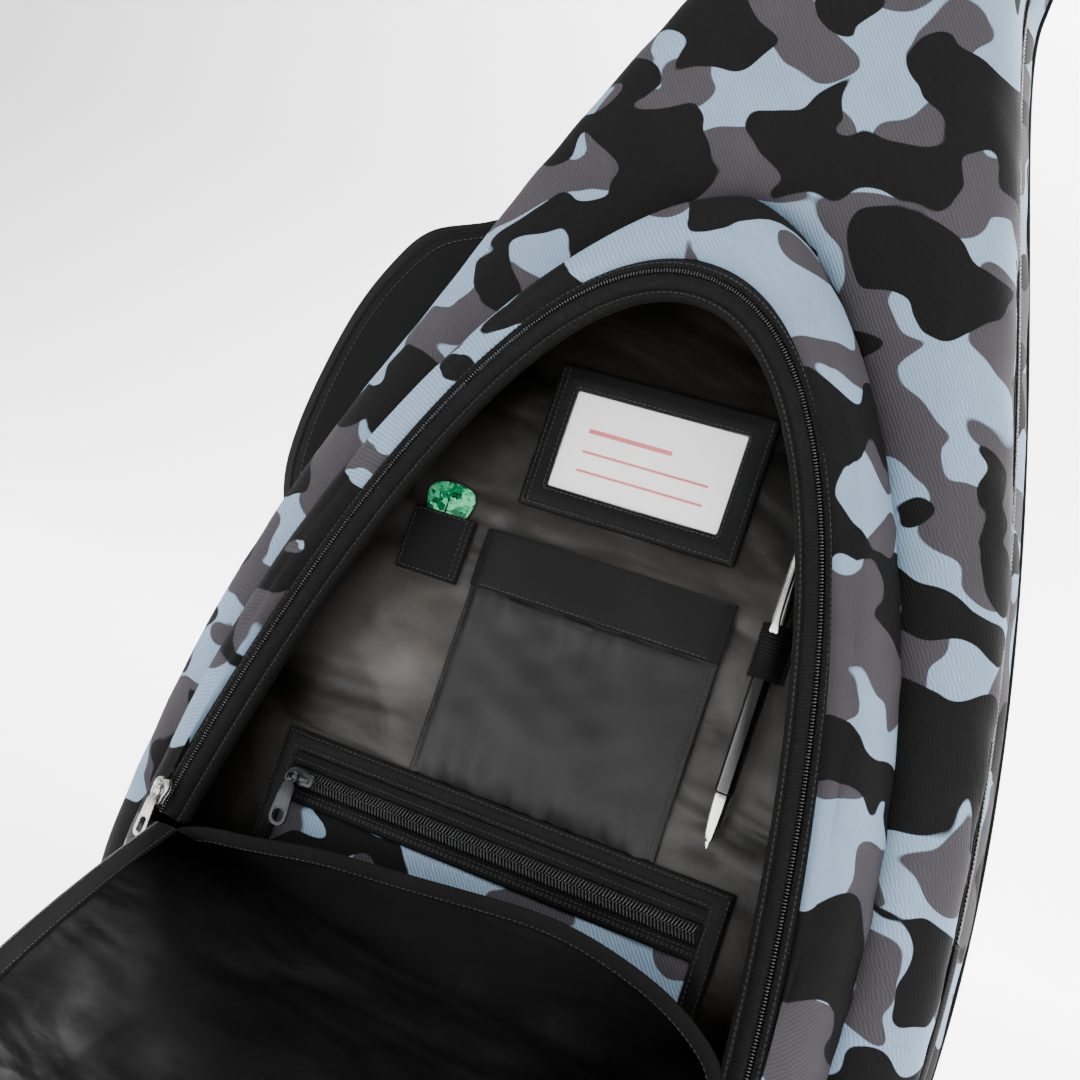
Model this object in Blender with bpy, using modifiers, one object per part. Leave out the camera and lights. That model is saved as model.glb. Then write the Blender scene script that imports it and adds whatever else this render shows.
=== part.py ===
"""Padded guitar gig bag, standing on its bottom bumper.

Metres, +Z up. The origin is on the floor under the middle of the bumper, the front
pocket faces -Y, and the bag's zip line lies in the plane Y = 0. The back half stays
put. The front half, the lid, swings about a vertical line at the bag's right side,
and carries the front pocket with its organizer. The pocket's door hangs open.
"""

import math

import bmesh
import bpy
from mathutils import Matrix, Vector

# Driving dimensions of the bag
BAG_HEIGHT = 1.050
BOTTOM_Z = 0.006
MAX_HALF_WIDTH = 0.210
NECK_HALF_WIDTH = 0.070
HALF_DEPTH = 0.050
BOTTOM_FLAT = 0.120
WIDEST_Z = 0.150
NECK_START_Z = 0.690
NECK_END_Z = 0.970

SKIN = 0.0015
FOAM = 0.012
GAP = 0.0003
PULL_CLEARANCE = 0.0012
EDGE_RADIUS = 0.012
TAPE_HALF = 0.005
TAPE_MEET = 0.00015

# Front pocket
POCKET_TOP_Z = 0.537
POCKET_BOTTOM_Z = 0.062
POCKET_HALF_WIDTH = 0.177
POCKET_RISE = 0.030
POCKET_WALL = 0.004
HINGE_Z = 0.165
OPENING_TOP_Z = 0.487
OPENING_HALF_WIDTH = 0.150
DOOR_OPEN_ANGLE = math.radians(113)

# The organizer's pockets are sewn a little askew, about a point on the bag's middle line
ORGANIZER_TILT = math.radians(-4)
ORGANIZER_CENTRE = (0.0, 0.0, 0.357)
ORGANIZER_SHIFT = -0.002

# Planes, counted along -Y from the front face outwards
FACE_Y = -HALF_DEPTH
LINING_Y = FACE_Y - GAP
ITEM_Y = LINING_Y - 0.0008 - GAP
RIM_Y = FACE_Y - POCKET_RISE

LID_AXIS_X = 0.213

# Shoulder straps: the last matrix turns a band's path to depth and height, its width to X
PAD_THICK = 0.009
LEFT_PAD_Y = 0.0605
ADJUSTER_DROP = 0.030
ACROSS_STRAP = Matrix(((0, 0, 1, 0), (1, 0, 0, 0), (0, 1, 0, 0), (0, 0, 0, 1)))

# Where the main zip stops, above and below the fabric that joins the lid to the back
HINGE_LOW_Z = 0.070
HINGE_HIGH_Z = 0.255

# Colours, roughness and metallic value of each material
FINISHES = {
    "camo_fabric": ((0.28, 0.33, 0.39), 0.85, 0.0),
    "black_fabric": ((0.012, 0.012, 0.013), 0.80, 0.0),
    "black_webbing": ((0.010, 0.010, 0.011), 0.70, 0.0),
    "satin_lining": ((0.085, 0.075, 0.068), 0.45, 0.0),
    "plush_lining": ((0.05, 0.05, 0.055), 0.95, 0.0),
    "air_mesh": ((0.02, 0.02, 0.02), 0.90, 0.0),
    "black_rubber": ((0.015, 0.015, 0.015), 0.60, 0.0),
    "zip_coil": ((0.015, 0.015, 0.015), 0.35, 0.0),
    "nickel": ((0.62, 0.61, 0.58), 0.25, 1.0),
    "gunmetal": ((0.12, 0.12, 0.13), 0.35, 1.0),
    "clear_vinyl": ((0.85, 0.87, 0.88), 0.10, 0.0),
    "white_card": ((0.80, 0.80, 0.78), 0.50, 0.0),
    "green_celluloid": ((0.02, 0.30, 0.10), 0.20, 0.0),
    "pen_black": ((0.008, 0.008, 0.008), 0.08, 0.0),
    "pen_chrome": ((0.75, 0.75, 0.75), 0.12, 1.0),
    "black_plastic": ((0.02, 0.02, 0.02), 0.40, 0.0),
}


# ---------------------------------------------------------------- scene helpers


def clear_scene():
    for old in list(bpy.data.objects):
        bpy.data.objects.remove(old, do_unlink=True)


def make_collection(name):
    made = bpy.data.collections.new(name)
    bpy.context.scene.collection.children.link(made)
    return made


def finish(obj, name, material):
    """Names the object, gives it its own copy of the material and files it as a part."""
    obj.name = name
    obj.data.name = name
    colour, roughness, metallic = FINISHES[material]
    made = bpy.data.materials.new(f"{name}_{material}")
    made.use_nodes = True
    shader = made.node_tree.nodes["Principled BSDF"]
    shader.inputs["Base Color"].default_value = (*colour, 1)
    shader.inputs["Roughness"].default_value = roughness
    shader.inputs["Metallic"].default_value = metallic
    made.diffuse_color = (*colour, 1)
    obj.data.materials.clear()
    obj.data.materials.append(made)
    file_in(obj, PARTS)
    return obj


def file_in(obj, collection):
    for used in list(obj.users_collection):
        used.objects.unlink(obj)
    collection.objects.link(obj)


def pivot(name, location, parent=None):
    """An empty on a joint's axis, which the moving pieces hang from."""
    made = bpy.data.objects.new(name, None)
    made.empty_display_size = 0.02
    PARTS.objects.link(made)
    made.location = location
    bpy.context.view_layer.update()
    if parent is not None:
        attach(made, parent)
    return made


def attach(child, parent):
    """Parents the child where it is."""
    bpy.context.view_layer.update()
    child.parent = parent
    child.matrix_parent_inverse = parent.matrix_world.inverted()


def add_bevel(obj, width, segments=2):
    bevel = obj.modifiers.new("Bevel", "BEVEL")
    bevel.width = width
    bevel.segments = segments
    bevel.limit_method = "ANGLE"
    bevel.angle_limit = math.radians(40)
    return bevel


def add_solidify(obj, thickness, offset):
    solidify = obj.modifiers.new("Solidify", "SOLIDIFY")
    solidify.thickness = thickness
    solidify.offset = offset
    solidify.use_even_offset = True
    return solidify


def cut(target, cutter):
    """Takes the cutter out of the target."""
    file_in(cutter, CUTTERS)
    cutter.hide_render = True
    cutter.display_type = "WIRE"
    boolean = target.modifiers.new("Cut", "BOOLEAN")
    boolean.operation = "DIFFERENCE"
    boolean.solver = "EXACT"
    boolean.object = cutter


# ---------------------------------------------------------------- outlines, (x, z)


def bezier(start, handle_a, handle_b, end, steps):
    """Points of a cubic Bezier after its start."""
    points = []
    for step in range(1, steps + 1):
        t = step / steps
        s = 1 - t
        weights = (s**3, 3 * s * s * t, 3 * s * t * t, t**3)
        ends = (start, handle_a, handle_b, end)
        points.append(tuple(sum(w * p[i] for w, p in zip(weights, ends)) for i in (0, 1)))
    return points


def quarter(centre, radii, first, steps):
    """Points of a quarter ellipse that turns left, after its start at the angle first."""
    points = []
    for step in range(1, steps + 1):
        angle = first + math.pi / 2 * step / steps
        x = centre[0] + radii[0] * math.cos(angle)
        points.append((x, centre[1] + radii[1] * math.sin(angle)))
    return points


def line(start, end, steps):
    """Points of a straight run after its start."""
    return [
        tuple(start[i] + (end[i] - start[i]) * step / steps for i in (0, 1))
        for step in range(1, steps + 1)
    ]


def mirrored(right_half):
    """The whole ring from its right half, which runs from the bottom middle to the top middle."""
    left_half = [(-x, z) for x, z in reversed(right_half[1:-1])]
    return right_half + left_half


def body_right_half():
    points = [(0.0, BOTTOM_Z)]
    points += line(points[0], (BOTTOM_FLAT, BOTTOM_Z), 2)
    radii = (MAX_HALF_WIDTH - BOTTOM_FLAT, WIDEST_Z - BOTTOM_Z)
    points += quarter((BOTTOM_FLAT, WIDEST_Z), radii, -math.pi / 2, 6)
    neck = (NECK_HALF_WIDTH, NECK_START_Z)
    flank = ((MAX_HALF_WIDTH, 0.385), (NECK_HALF_WIDTH, 0.635), neck)
    points += bezier((MAX_HALF_WIDTH, WIDEST_Z), *flank, 12)
    points += line(neck, (NECK_HALF_WIDTH, NECK_END_Z), 2)
    points += quarter((0.0, NECK_END_Z), (NECK_HALF_WIDTH, BAG_HEIGHT - NECK_END_Z), 0.0, 6)
    return points


def crease_right_half():
    """Where the pocket's wall meets the front face."""
    points = [(0.0, POCKET_BOTTOM_Z)]
    points += line(points[0], (0.110, POCKET_BOTTOM_Z), 2)
    points += quarter((0.110, 0.150), (POCKET_HALF_WIDTH - 0.110, 0.088), -math.pi / 2, 5)
    flank = ((POCKET_HALF_WIDTH, 0.381), (0.052, POCKET_TOP_Z), (0.0, POCKET_TOP_Z))
    return points + bezier((POCKET_HALF_WIDTH, 0.150), *flank, 12)


def wall_top_right_half():
    """The outer edge of the pocket's front."""
    points = [(0.0, 0.095)]
    points += line(points[0], (0.100, 0.095), 2)
    points += quarter((0.100, 0.150), (0.057, 0.055), -math.pi / 2, 5)
    flank = ((0.138, 0.305), (0.092, 0.494), (0.0, 0.494))
    return points + bezier((0.157, 0.150), *flank, 12)


def opening_side(margin=0.0, steps=12):
    """The right side of the pocket's opening with its corner, moved in by the margin."""
    corner = (OPENING_HALF_WIDTH - margin, HINGE_Z)
    top = OPENING_TOP_Z - margin
    handles = ((0.131 - margin, 0.305), (0.085 - margin / 2, top))
    return [corner] + bezier(corner, *handles, (0.0, top), steps)


def opening_right_half():
    """The opening with as many points as the wall's other rings."""
    side = opening_side()
    points = [(0.0, HINGE_Z)] + line((0.0, HINGE_Z), (0.070, HINGE_Z), 2)
    return points + line((0.070, HINGE_Z), side[0], 5) + side[1:]


def moved_in(ring, distance):
    """The ring with each point moved in along its normal. The ring runs anticlockwise."""
    moved = []
    for index, point in enumerate(ring):
        before = Vector(ring[index - 1])
        after = Vector(ring[(index + 1) % len(ring)])
        along = (after - before).normalized()
        moved.append((point[0] - along.y * distance, point[1] + along.x * distance))
    return moved


def rectangle(x0, x1, z0, z1, radius=0.0, steps=3):
    """A rectangle's ring, with round corners where there is a radius."""
    if radius == 0.0:
        return [(x0, z0), (x1, z0), (x1, z1), (x0, z1)]
    ring = []
    centres = ((x1 - radius, z0 + radius), (x1 - radius, z1 - radius))
    centres += ((x0 + radius, z1 - radius), (x0 + radius, z0 + radius))
    for number, centre in enumerate(centres):
        first = math.pi / 2 * (number - 1)
        ring.append(
            (centre[0] + radius * math.cos(first), centre[1] + radius * math.sin(first))
        )
        ring += quarter(centre, (radius, radius), first, steps)
    return ring


# ---------------------------------------------------------------- shape makers


def plate(name, material, ring, y_back, y_front, holes=()):
    """A flat outline in XZ, filled and given its thickness along Y."""
    curve = bpy.data.curves.new(name, "CURVE")
    curve.dimensions = "2D"
    curve.fill_mode = "BOTH"
    curve.extrude = abs(y_back - y_front) / 2
    for points in (ring, *holes):
        spline = curve.splines.new("POLY")
        spline.points.add(len(points) - 1)
        for target, (x, z) in zip(spline.points, points):
            target.co = (x, z, 0, 1)
        spline.use_cyclic_u = True
    obj = bpy.data.objects.new(name, curve)
    obj.rotation_euler = (math.pi / 2, 0, 0)
    obj.location = (0, (y_back + y_front) / 2, 0)
    return finish(obj, name, material)


def block(name, material, low, high, bevel=0.0, segments=2):
    """A box between two corners, with its edges rounded."""
    centre = [(a + b) / 2 for a, b in zip(low, high)]
    bpy.ops.mesh.primitive_cube_add(size=1, location=centre)
    obj = bpy.context.object
    size = [b - a for a, b in zip(low, high)]
    obj.data.transform(Matrix.Diagonal((*size, 1)))
    if bevel:
        add_bevel(obj, bevel, segments)
    return finish(obj, name, material)


def turned(name, material, profile, centre):
    """A turned piece: its profile, (radius, z) from top to bottom, spun about Z."""
    mesh = bpy.data.meshes.new(name)
    points = [(radius, 0, z) for radius, z in profile]
    mesh.from_pydata(points, [(i, i + 1) for i in range(len(points) - 1)], [])
    obj = bpy.data.objects.new(name, mesh)
    screw = obj.modifiers.new("Screw", "SCREW")
    screw.steps = 12
    screw.render_steps = 12
    screw.use_merge_vertices = True
    screw.merge_threshold = 0.00001
    obj.location = centre
    return finish(obj, name, material)


def tube(name, material, points, radius, resolution=1):
    """A round bead along points in space, with filled ends."""
    curve = bpy.data.curves.new(name, "CURVE")
    curve.dimensions = "3D"
    curve.bevel_depth = radius
    curve.bevel_resolution = resolution
    curve.use_fill_caps = True
    spline = curve.splines.new("POLY")
    spline.points.add(len(points) - 1)
    for target, point in zip(spline.points, points):
        target.co = (*point, 1)
    return finish(bpy.data.objects.new(name, curve), name, material)


def band(name, material, path, width, thickness):
    """A strap: its path in the local XY plane, widened along Z and thickened."""
    curve = bpy.data.curves.new(name, "CURVE")
    curve.dimensions = "3D"
    curve.extrude = width / 2
    spline = curve.splines.new("POLY")
    spline.points.add(len(path) - 1)
    for target, (x, y) in zip(spline.points, path):
        target.co = (x, y, 0, 1)
    obj = bpy.data.objects.new(name, curve)
    add_solidify(obj, thickness, 0.0)
    return finish(obj, name, material)


def grid_faces(rings, points_each, wrap_rings=False):
    """The quads between neighbouring closed rings, numbered one ring after another."""
    faces = []
    count = rings if wrap_rings else rings - 1
    for ring in range(count):
        here = ring * points_each
        there = (ring + 1) % rings * points_each
        for index in range(points_each):
            after = (index + 1) % points_each
            faces.append((here + index, here + after, there + after, there + index))
    return faces


def mesh_object(name, material, points, faces):
    mesh = bpy.data.meshes.new(name)
    mesh.from_pydata(points, [], faces)
    work = bmesh.new()
    work.from_mesh(mesh)
    bmesh.ops.recalc_face_normals(work, faces=work.faces)
    work.to_mesh(mesh)
    work.free()
    return finish(bpy.data.objects.new(name, mesh), name, material)


def half_shell(name, material, side, inset, edge_y, thickness):
    """One half of the bag as an open tray. side is -1 in front and 1 behind."""
    ring = moved_in(mirrored(body_right_half()), inset)
    face_y = HALF_DEPTH - inset
    radius = EDGE_RADIUS
    levels = (
        (0.0, edge_y),
        (0.0, face_y - radius),
        (0.3 * radius, face_y - 0.3 * radius),
        (radius, face_y),
    )
    points = []
    for extra, y in levels:
        points += [(x, side * y, z) for x, z in moved_in(ring, extra)]
    count = len(ring)
    faces = grid_faces(len(levels), count)
    faces.append(tuple(range((len(levels) - 1) * count, len(levels) * count)))
    obj = mesh_object(name, material, points, faces)
    # An open tray has no inside, so its faces are turned to point away from the zip line.
    if obj.data.polygons[-1].normal.y * side < 0:
        obj.data.flip_normals()
    add_solidify(obj, thickness, -1.0)
    return obj


def ring_loft(name, material, rings):
    """A closed wall that runs through the rings, each given as (ring, y), and back."""
    points = []
    for ring, y in rings:
        points += [(x, y, z) for x, z in ring]
    faces = grid_faces(len(rings), len(rings[0][0]), wrap_rings=True)
    return mesh_object(name, material, points, faces)


def between(outer, inner):
    """The outline of a strip between two runs of points."""
    return outer + inner[::-1]


# ---------------------------------------------------------------- the two halves


def zip_run(inset):
    """The bag's outline where the main zip runs: all of it except the fabric hinge."""
    ring = moved_in(mirrored(body_right_half()), inset)
    heights = [z for x, z in mirrored(body_right_half())]
    right = len(body_right_half())
    start = next(i for i in range(right) if heights[i] > HINGE_HIGH_Z)
    stop = next(i for i in range(right) if heights[i] > HINGE_LOW_Z)
    return ring[start:] + ring[:stop]


def hinge_run(inset):
    """The stretch of the outline where the lid's fabric hinge is."""
    ring = moved_in(mirrored(body_right_half()), inset)
    heights = [z for x, z in body_right_half()]
    start = next(i for i, z in enumerate(heights) if z > HINGE_LOW_Z)
    stop = next(i for i, z in enumerate(heights) if z > HINGE_HIGH_Z) - 1
    return ring[start : stop + 1]


def make_back_half():
    half_shell("back_shell", "black_fabric", 1, 0.0, TAPE_HALF + GAP, SKIN)
    half_shell("back_foam", "plush_lining", 1, SKIN + GAP, 2 * GAP, FOAM)
    tape = between(zip_run(0.0), zip_run(SKIN))
    plate("main_zip_tape_back", "black_webbing", tape, TAPE_HALF, TAPE_MEET)
    hinge = between(hinge_run(0.0), hinge_run(SKIN))
    plate("lid_hinge_gusset", "black_fabric", hinge, TAPE_HALF, TAPE_MEET)
    bumper = rectangle(-0.135, 0.135, -HALF_DEPTH, HALF_DEPTH, 0.012)
    base = plate("bottom_bumper", "black_rubber", bumper, 0, BOTTOM_Z - GAP)
    base.rotation_euler = (0, 0, 0)
    base.location = (0, 0, (BOTTOM_Z - GAP) / 2)
    pad = rectangle(-0.076, 0.076, 0.100, 0.545, 0.035, 4)
    obj = plate("back_pad", "air_mesh", pad, HALF_DEPTH + GAP, HALF_DEPTH + 0.010)
    obj.modifiers.new("Weld", "WELD").merge_threshold = 0.00001
    add_bevel(obj, 0.003, 1)


def make_neck_support():
    """The padded cradle and the hook strap that hold the guitar's neck."""
    inner_y = HALF_DEPTH - SKIN - FOAM - 2 * GAP
    low = (-0.048, 0.004, 0.700)
    cradle = block("neck_cradle", "plush_lining", low, (0.048, inner_y - GAP, 0.780), 0.004, 1)
    bpy.ops.mesh.primitive_cylinder_add(
        vertices=16, radius=0.028, depth=0.2, location=(0, 0, 0.74)
    )
    cut(cradle, bpy.context.object)
    strap_path = [(-0.047, 0.0028), (-0.042, -0.006), (0.042, -0.006), (0.047, 0.0028)]
    strap = band("neck_strap", "black_webbing", strap_path, 0.038, 0.0016)
    strap.location = (0, 0, 0.740)
    low_z = BOTTOM_Z + SKIN + FOAM + 3 * GAP
    low = (-0.060, 0.004, low_z)
    high = (0.060, inner_y - GAP, low_z + 0.018)
    block("end_pad", "plush_lining", low, high, 0.004, 1)


def make_lid():
    half_shell("front_shell", "camo_fabric", -1, 0.0, TAPE_HALF + GAP, SKIN)
    half_shell("front_foam", "plush_lining", -1, SKIN + GAP, 2 * GAP, FOAM)
    tape = between(zip_run(0.0), zip_run(SKIN))
    plate("main_zip_tape_front", "black_webbing", tape, -TAPE_MEET, -TAPE_HALF)


# ---------------------------------------------------------------- front pocket


def make_pocket_wall():
    crease = mirrored(crease_right_half())
    top = mirrored(wall_top_right_half())
    opening = mirrored(opening_right_half())
    middle = [
        (0.62 * a[0] + 0.38 * b[0], 0.62 * a[1] + 0.38 * b[1]) for a, b in zip(crease, top)
    ]
    base_y = FACE_Y - GAP
    inner_y = RIM_Y + POCKET_WALL
    rings = [
        (crease, base_y),
        (middle, FACE_Y - 0.019),
        (moved_in(top, -0.002), RIM_Y + 0.003),
        (moved_in(top, 0.001), RIM_Y),
        (opening, RIM_Y),
        (opening, inner_y),
        (moved_in(top, 0.0035), inner_y),
        (moved_in(middle, POCKET_WALL), FACE_Y - 0.017),
        (moved_in(crease, POCKET_WALL), base_y),
    ]
    ring_loft("pocket_wall", "camo_fabric", rings)


def arch(margin):
    """The opening's edge from its left corner over the top to its right corner."""
    right = opening_side(margin)
    return [(-x, z) for x, z in right] + right[-2::-1]


def make_pocket_rim():
    teeth_y = RIM_Y - 0.0012
    tape = between(arch(0.0005), arch(0.008))
    teeth = [(x, teeth_y - GAP, z) for x, z in arch(-0.0038)]
    binding = rectangle(-0.150, 0.150, HINGE_Z - 0.014, HINGE_Z - 0.005)
    plate("pocket_rim_tape", "black_webbing", tape, RIM_Y + 0.0035, RIM_Y + 0.0015)
    tube("pocket_rim_teeth", "zip_coil", teeth, 0.0012)
    plate("door_hinge_binding", "black_webbing", binding, RIM_Y - GAP, RIM_Y - 0.0016)


def make_door():
    """The pocket's door, drawn shut and then swung open on its lower edge."""
    axis_y = RIM_Y - 0.003
    axis_z = HINGE_Z - 0.001
    shift = HINGE_Z + 0.0035
    edge = [(x, max(z, shift)) for x, z in arch(0.0030)]
    lining = [(x, max(z, shift + 0.002)) for x, z in arch(0.0110)]
    outer = between(arch(-0.0005), arch(0.0027))
    outer = [(x, max(z, shift)) for x, z in outer]
    back_y = RIM_Y - 0.0030
    teeth = [(x, back_y + 0.0008, max(z, shift + 0.002)) for x, z in arch(-0.0003)]
    parts = [
        plate("door_panel", "camo_fabric", edge, back_y - GAP, back_y - 0.0045),
        plate("door_lining", "satin_lining", lining, back_y, back_y + 0.0008),
        plate("door_binding", "black_webbing", outer, back_y - GAP, back_y - 0.0040),
        tube("door_teeth", "zip_coil", teeth, 0.0008),
    ]
    hinge = pivot("door_pivot", (0, axis_y, axis_z))
    for part in parts:
        attach(part, hinge)
    hinge.rotation_euler = (DOOR_OPEN_ANGLE, 0, 0)


# ---------------------------------------------------------------- zip hardware


def make_puller(name, material, top, width, length, thickness):
    """A flat pull with a hole in its lower end, hanging from its top edge."""
    x, y, z = top
    ring = rectangle(x - width / 2, x + width / 2, z - length, z, width * 0.3, 2)
    hole_low = z - length + 0.003
    hole = rectangle(x - width / 4, x + width / 4, hole_low, hole_low + 0.006, width * 0.2, 2)
    return plate(name, material, ring, y, y - thickness, holes=(hole,))


def make_pocket_slider(lid):
    """The slider at the lower left end of the pocket's zip, with its pull."""
    x = -OPENING_HALF_WIDTH - 0.0065
    z = HINGE_Z + 0.010
    y = RIM_Y - 0.0036 - GAP
    slider_pivot = pivot("pocket_slider_pivot", (x, y, z), lid)
    low = (x - 0.0045, y - 0.0040, z - 0.0065)
    slider = block("pocket_slider", "nickel", low, (x + 0.0045, y, z + 0.0065), 0.0012)
    attach(slider, slider_pivot)
    pull_top = (x, y - 0.0040 - PULL_CLEARANCE, z + 0.002)
    pull_pivot = pivot("pocket_pull_pivot", pull_top, slider_pivot)
    pull = make_puller("pocket_slider_pull", "nickel", pull_top, 0.0068, 0.026, 0.0014)
    attach(pull, pull_pivot)


def make_main_sliders():
    """Two sliders meet on the main zip, on the straight left side of the neck."""
    for name, z in (("upper", 0.855), ("lower", 0.810)):
        x = -NECK_HALF_WIDTH - GAP
        slider_pivot = pivot(f"main_slider_{name}_pivot", (x, 0, z))
        low = (x - 0.0050, -0.0060, z - 0.0090)
        high = (x, 0.0060, z + 0.0090)
        attach(block(f"main_slider_{name}", "nickel", low, high, 0.0015), slider_pivot)
        top = (x - 0.0050 - PULL_CLEARANCE, 0, z + 0.003)
        pull_pivot = pivot(f"main_pull_{name}_pivot", top, slider_pivot)
        pull = make_puller(f"main_pull_{name}", "nickel", (0, 0, 0), 0.0085, 0.030, 0.0015)
        pull.rotation_euler = (math.pi / 2, 0, -math.pi / 2)
        pull.location = (top[0] - 0.00075, 0, top[2])
        attach(pull, pull_pivot)


# ---------------------------------------------------------------- organizer


def make_id_holder():
    """The window pocket with its card, which slides up behind the frame."""
    back = ITEM_Y
    front = back - 0.0026
    frame = block("id_holder_frame", "black_webbing", (-0.053, front, 0.371), (0.058, back, 0.441))
    slot_low = (-0.0435, back - 0.0014, 0.3785)
    cut(frame, block("id_slot_cutter", "black_webbing", slot_low, (0.0485, back + 0.01, 0.5)))
    window_low = (-0.0410, front - 0.01, 0.3830)
    window_high = (0.0460, back + 0.01, 0.4300)
    cut(frame, block("id_window_cutter", "black_webbing", window_low, window_high))
    pane_back = back - 0.0014 - GAP
    pane = (-0.0410 + GAP, pane_back - 0.0005, 0.3830 + GAP)
    block("id_window", "clear_vinyl", pane, (0.0460 - GAP, pane_back, 0.4300 - GAP))
    card_low = (-0.0425, back - 0.0010, 0.3795)
    block("id_card", "white_card", card_low, (0.0475, back - 0.0005, 0.4305))


def make_phone_pocket():
    """A soft open pocket with a wide elastic hem."""
    back = ITEM_Y
    front = back - 0.0085
    pocket = block("phone_pocket", "black_fabric", (-0.062, front, 0.234), (0.066, back, 0.355))
    low = (-0.0605, front + 0.0012, 0.2355)
    cut(pocket, block("phone_slot_cutter", "black_fabric", low, (0.0645, back - 0.0010, 0.4)))
    hem_low = (-0.062, front - GAP - 0.0009, 0.327)
    block("phone_pocket_hem", "black_fabric", hem_low, (0.066, front - GAP, 0.355))


def make_pick_pocket():
    """A small pocket with a plectrum standing in it."""
    back = ITEM_Y
    low = (-0.104, back - 0.0026, 0.324)
    pocket = block("pick_pocket", "black_webbing", low, (-0.070, back, 0.356))
    slot_low = (-0.1012, back - 0.0016, 0.326)
    cut(pocket, block("pick_slot_cutter", "black_webbing", slot_low, (-0.0728, back + 0.01, 0.4)))
    ring = [(-0.087, 0.3400)]
    ring += bezier(ring[0], (-0.0835, 0.3400), (-0.0745, 0.3560), (-0.0740, 0.3640), 4)
    ring += bezier((-0.0740, 0.3640), (-0.0740, 0.3700), (-0.0810, 0.3710), (-0.087, 0.3710), 4)
    ring += [(-0.174 - x, z) for x, z in reversed(ring[1:-1])]
    plate("pick", "green_celluloid", ring, back - 0.0005, back - 0.0013)


def make_pen():
    """The pen and the elastic loop that holds it."""
    x = 0.088
    y = ITEM_Y - 0.0062
    centre = (x, y, 0)
    loop_low = (x - 0.0085, ITEM_Y - 0.0122, 0.327)
    loop = block("pen_loop", "black_webbing", loop_low, (x + 0.0085, ITEM_Y, 0.352), 0.0015)
    bpy.ops.mesh.primitive_cylinder_add(
        vertices=20, radius=0.0050, depth=0.1, location=(x, y, 0.34)
    )
    cut(loop, bpy.context.object)
    barrel = [(0, 0.345), (0.0044, 0.345), (0.0044, 0.2745), (0, 0.2745)]
    turned("pen_barrel", "pen_black", barrel, centre)
    tip = [(0, 0.2742), (0.0043, 0.2742), (0.0038, 0.266), (0.0022, 0.253)]
    tip += [(0.0010, 0.252), (0.0006, 0.249), (0, 0.249)]
    turned("pen_tip", "pen_chrome", tip, centre)
    cap = [(0, 0.398), (0.0022, 0.398), (0.0024, 0.391), (0.0040, 0.390)]
    cap += [(0.0044, 0.360), (0.0044, 0.3453), (0, 0.3453)]
    turned("pen_cap", "pen_chrome", cap, centre)
    clip_y = y - 0.0062 - GAP
    clip = [(x - 0.0016, 0.388), (x - 0.0018, 0.352)]
    clip += [(x - 0.0027, 0.346), (x, 0.342), (x + 0.0027, 0.346)]
    clip += [(x + 0.0018, 0.352), (x + 0.0016, 0.388)]
    plate("pen_clip", "pen_chrome", clip, clip_y, clip_y - 0.0010)


def make_zip_pocket():
    """The flat zipped pocket at the organizer's bottom."""
    x0, x1, z0, z1 = -0.130, 0.106, 0.110, 0.2337
    back = ITEM_Y
    rim = 0.009
    ring = rectangle(x0, x1, z0, z1)
    hole = rectangle(x0 + rim, x1 - rim, z0 + rim, z1 - rim)
    plate("zip_pocket_binding", "black_webbing", ring, back, back - 0.0036, holes=(hole,))
    inner0, inner1 = x0 + rim + GAP, x1 - rim - GAP
    coil_z = 0.2125
    top_low = (inner0, back - 0.0026, coil_z + 0.0030)
    top_high = (inner1, back - 0.0008, z1 - rim - GAP)
    block("zip_pocket_tape_upper", "black_webbing", top_low, top_high)
    low_low = (inner0, back - 0.0026, 0.2005)
    block("zip_pocket_tape_lower", "black_webbing", low_low, (inner1, back - 0.0008, coil_z - 0.003))
    panel_low = (inner0, back - 0.0030, z0 + rim + GAP)
    block("zip_pocket_panel", "camo_fabric", panel_low, (inner1, back - 0.0008, 0.2005 - GAP))
    coil_y = back - 0.0028
    coil = [(inner0 + 0.001, coil_y, coil_z), (inner1 - 0.001, coil_y, coil_z)]
    tube("zip_pocket_coil", "zip_coil", coil, 0.0024, 2)
    slider_x = -0.112
    y = coil_y - 0.0024 - GAP
    slider_pivot = pivot("zip_pocket_slider_pivot", (slider_x, y, coil_z))
    low = (slider_x - 0.0075, y - 0.0034, coil_z - 0.0048)
    high = (slider_x + 0.0075, y, coil_z + 0.0048)
    attach(block("zip_pocket_slider", "gunmetal", low, high, 0.0012), slider_pivot)
    pull_top = (slider_x - 0.003, y - 0.0034 - PULL_CLEARANCE, coil_z + 0.002)
    pull_pivot = pivot("zip_pocket_pull_pivot", pull_top, slider_pivot)
    pull = make_puller("zip_pocket_pull", "gunmetal", pull_top, 0.0095, 0.027, 0.0016)
    attach(pull, pull_pivot)


def make_organizer():
    panel = moved_in(mirrored(crease_right_half()), 0.0060)
    plate("organizer_panel", "satin_lining", panel, LINING_Y, LINING_Y - 0.0008)
    before = set(PARTS.objects) | set(CUTTERS.objects)
    organizer = pivot("organizer_origin", ORGANIZER_CENTRE)
    make_id_holder()
    make_phone_pocket()
    make_pick_pocket()
    make_pen()
    make_zip_pocket()
    hang_on(organizer, before)
    organizer.location.x += ORGANIZER_SHIFT
    organizer.rotation_euler.y = ORGANIZER_TILT


# ---------------------------------------------------------------- carrying gear


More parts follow.
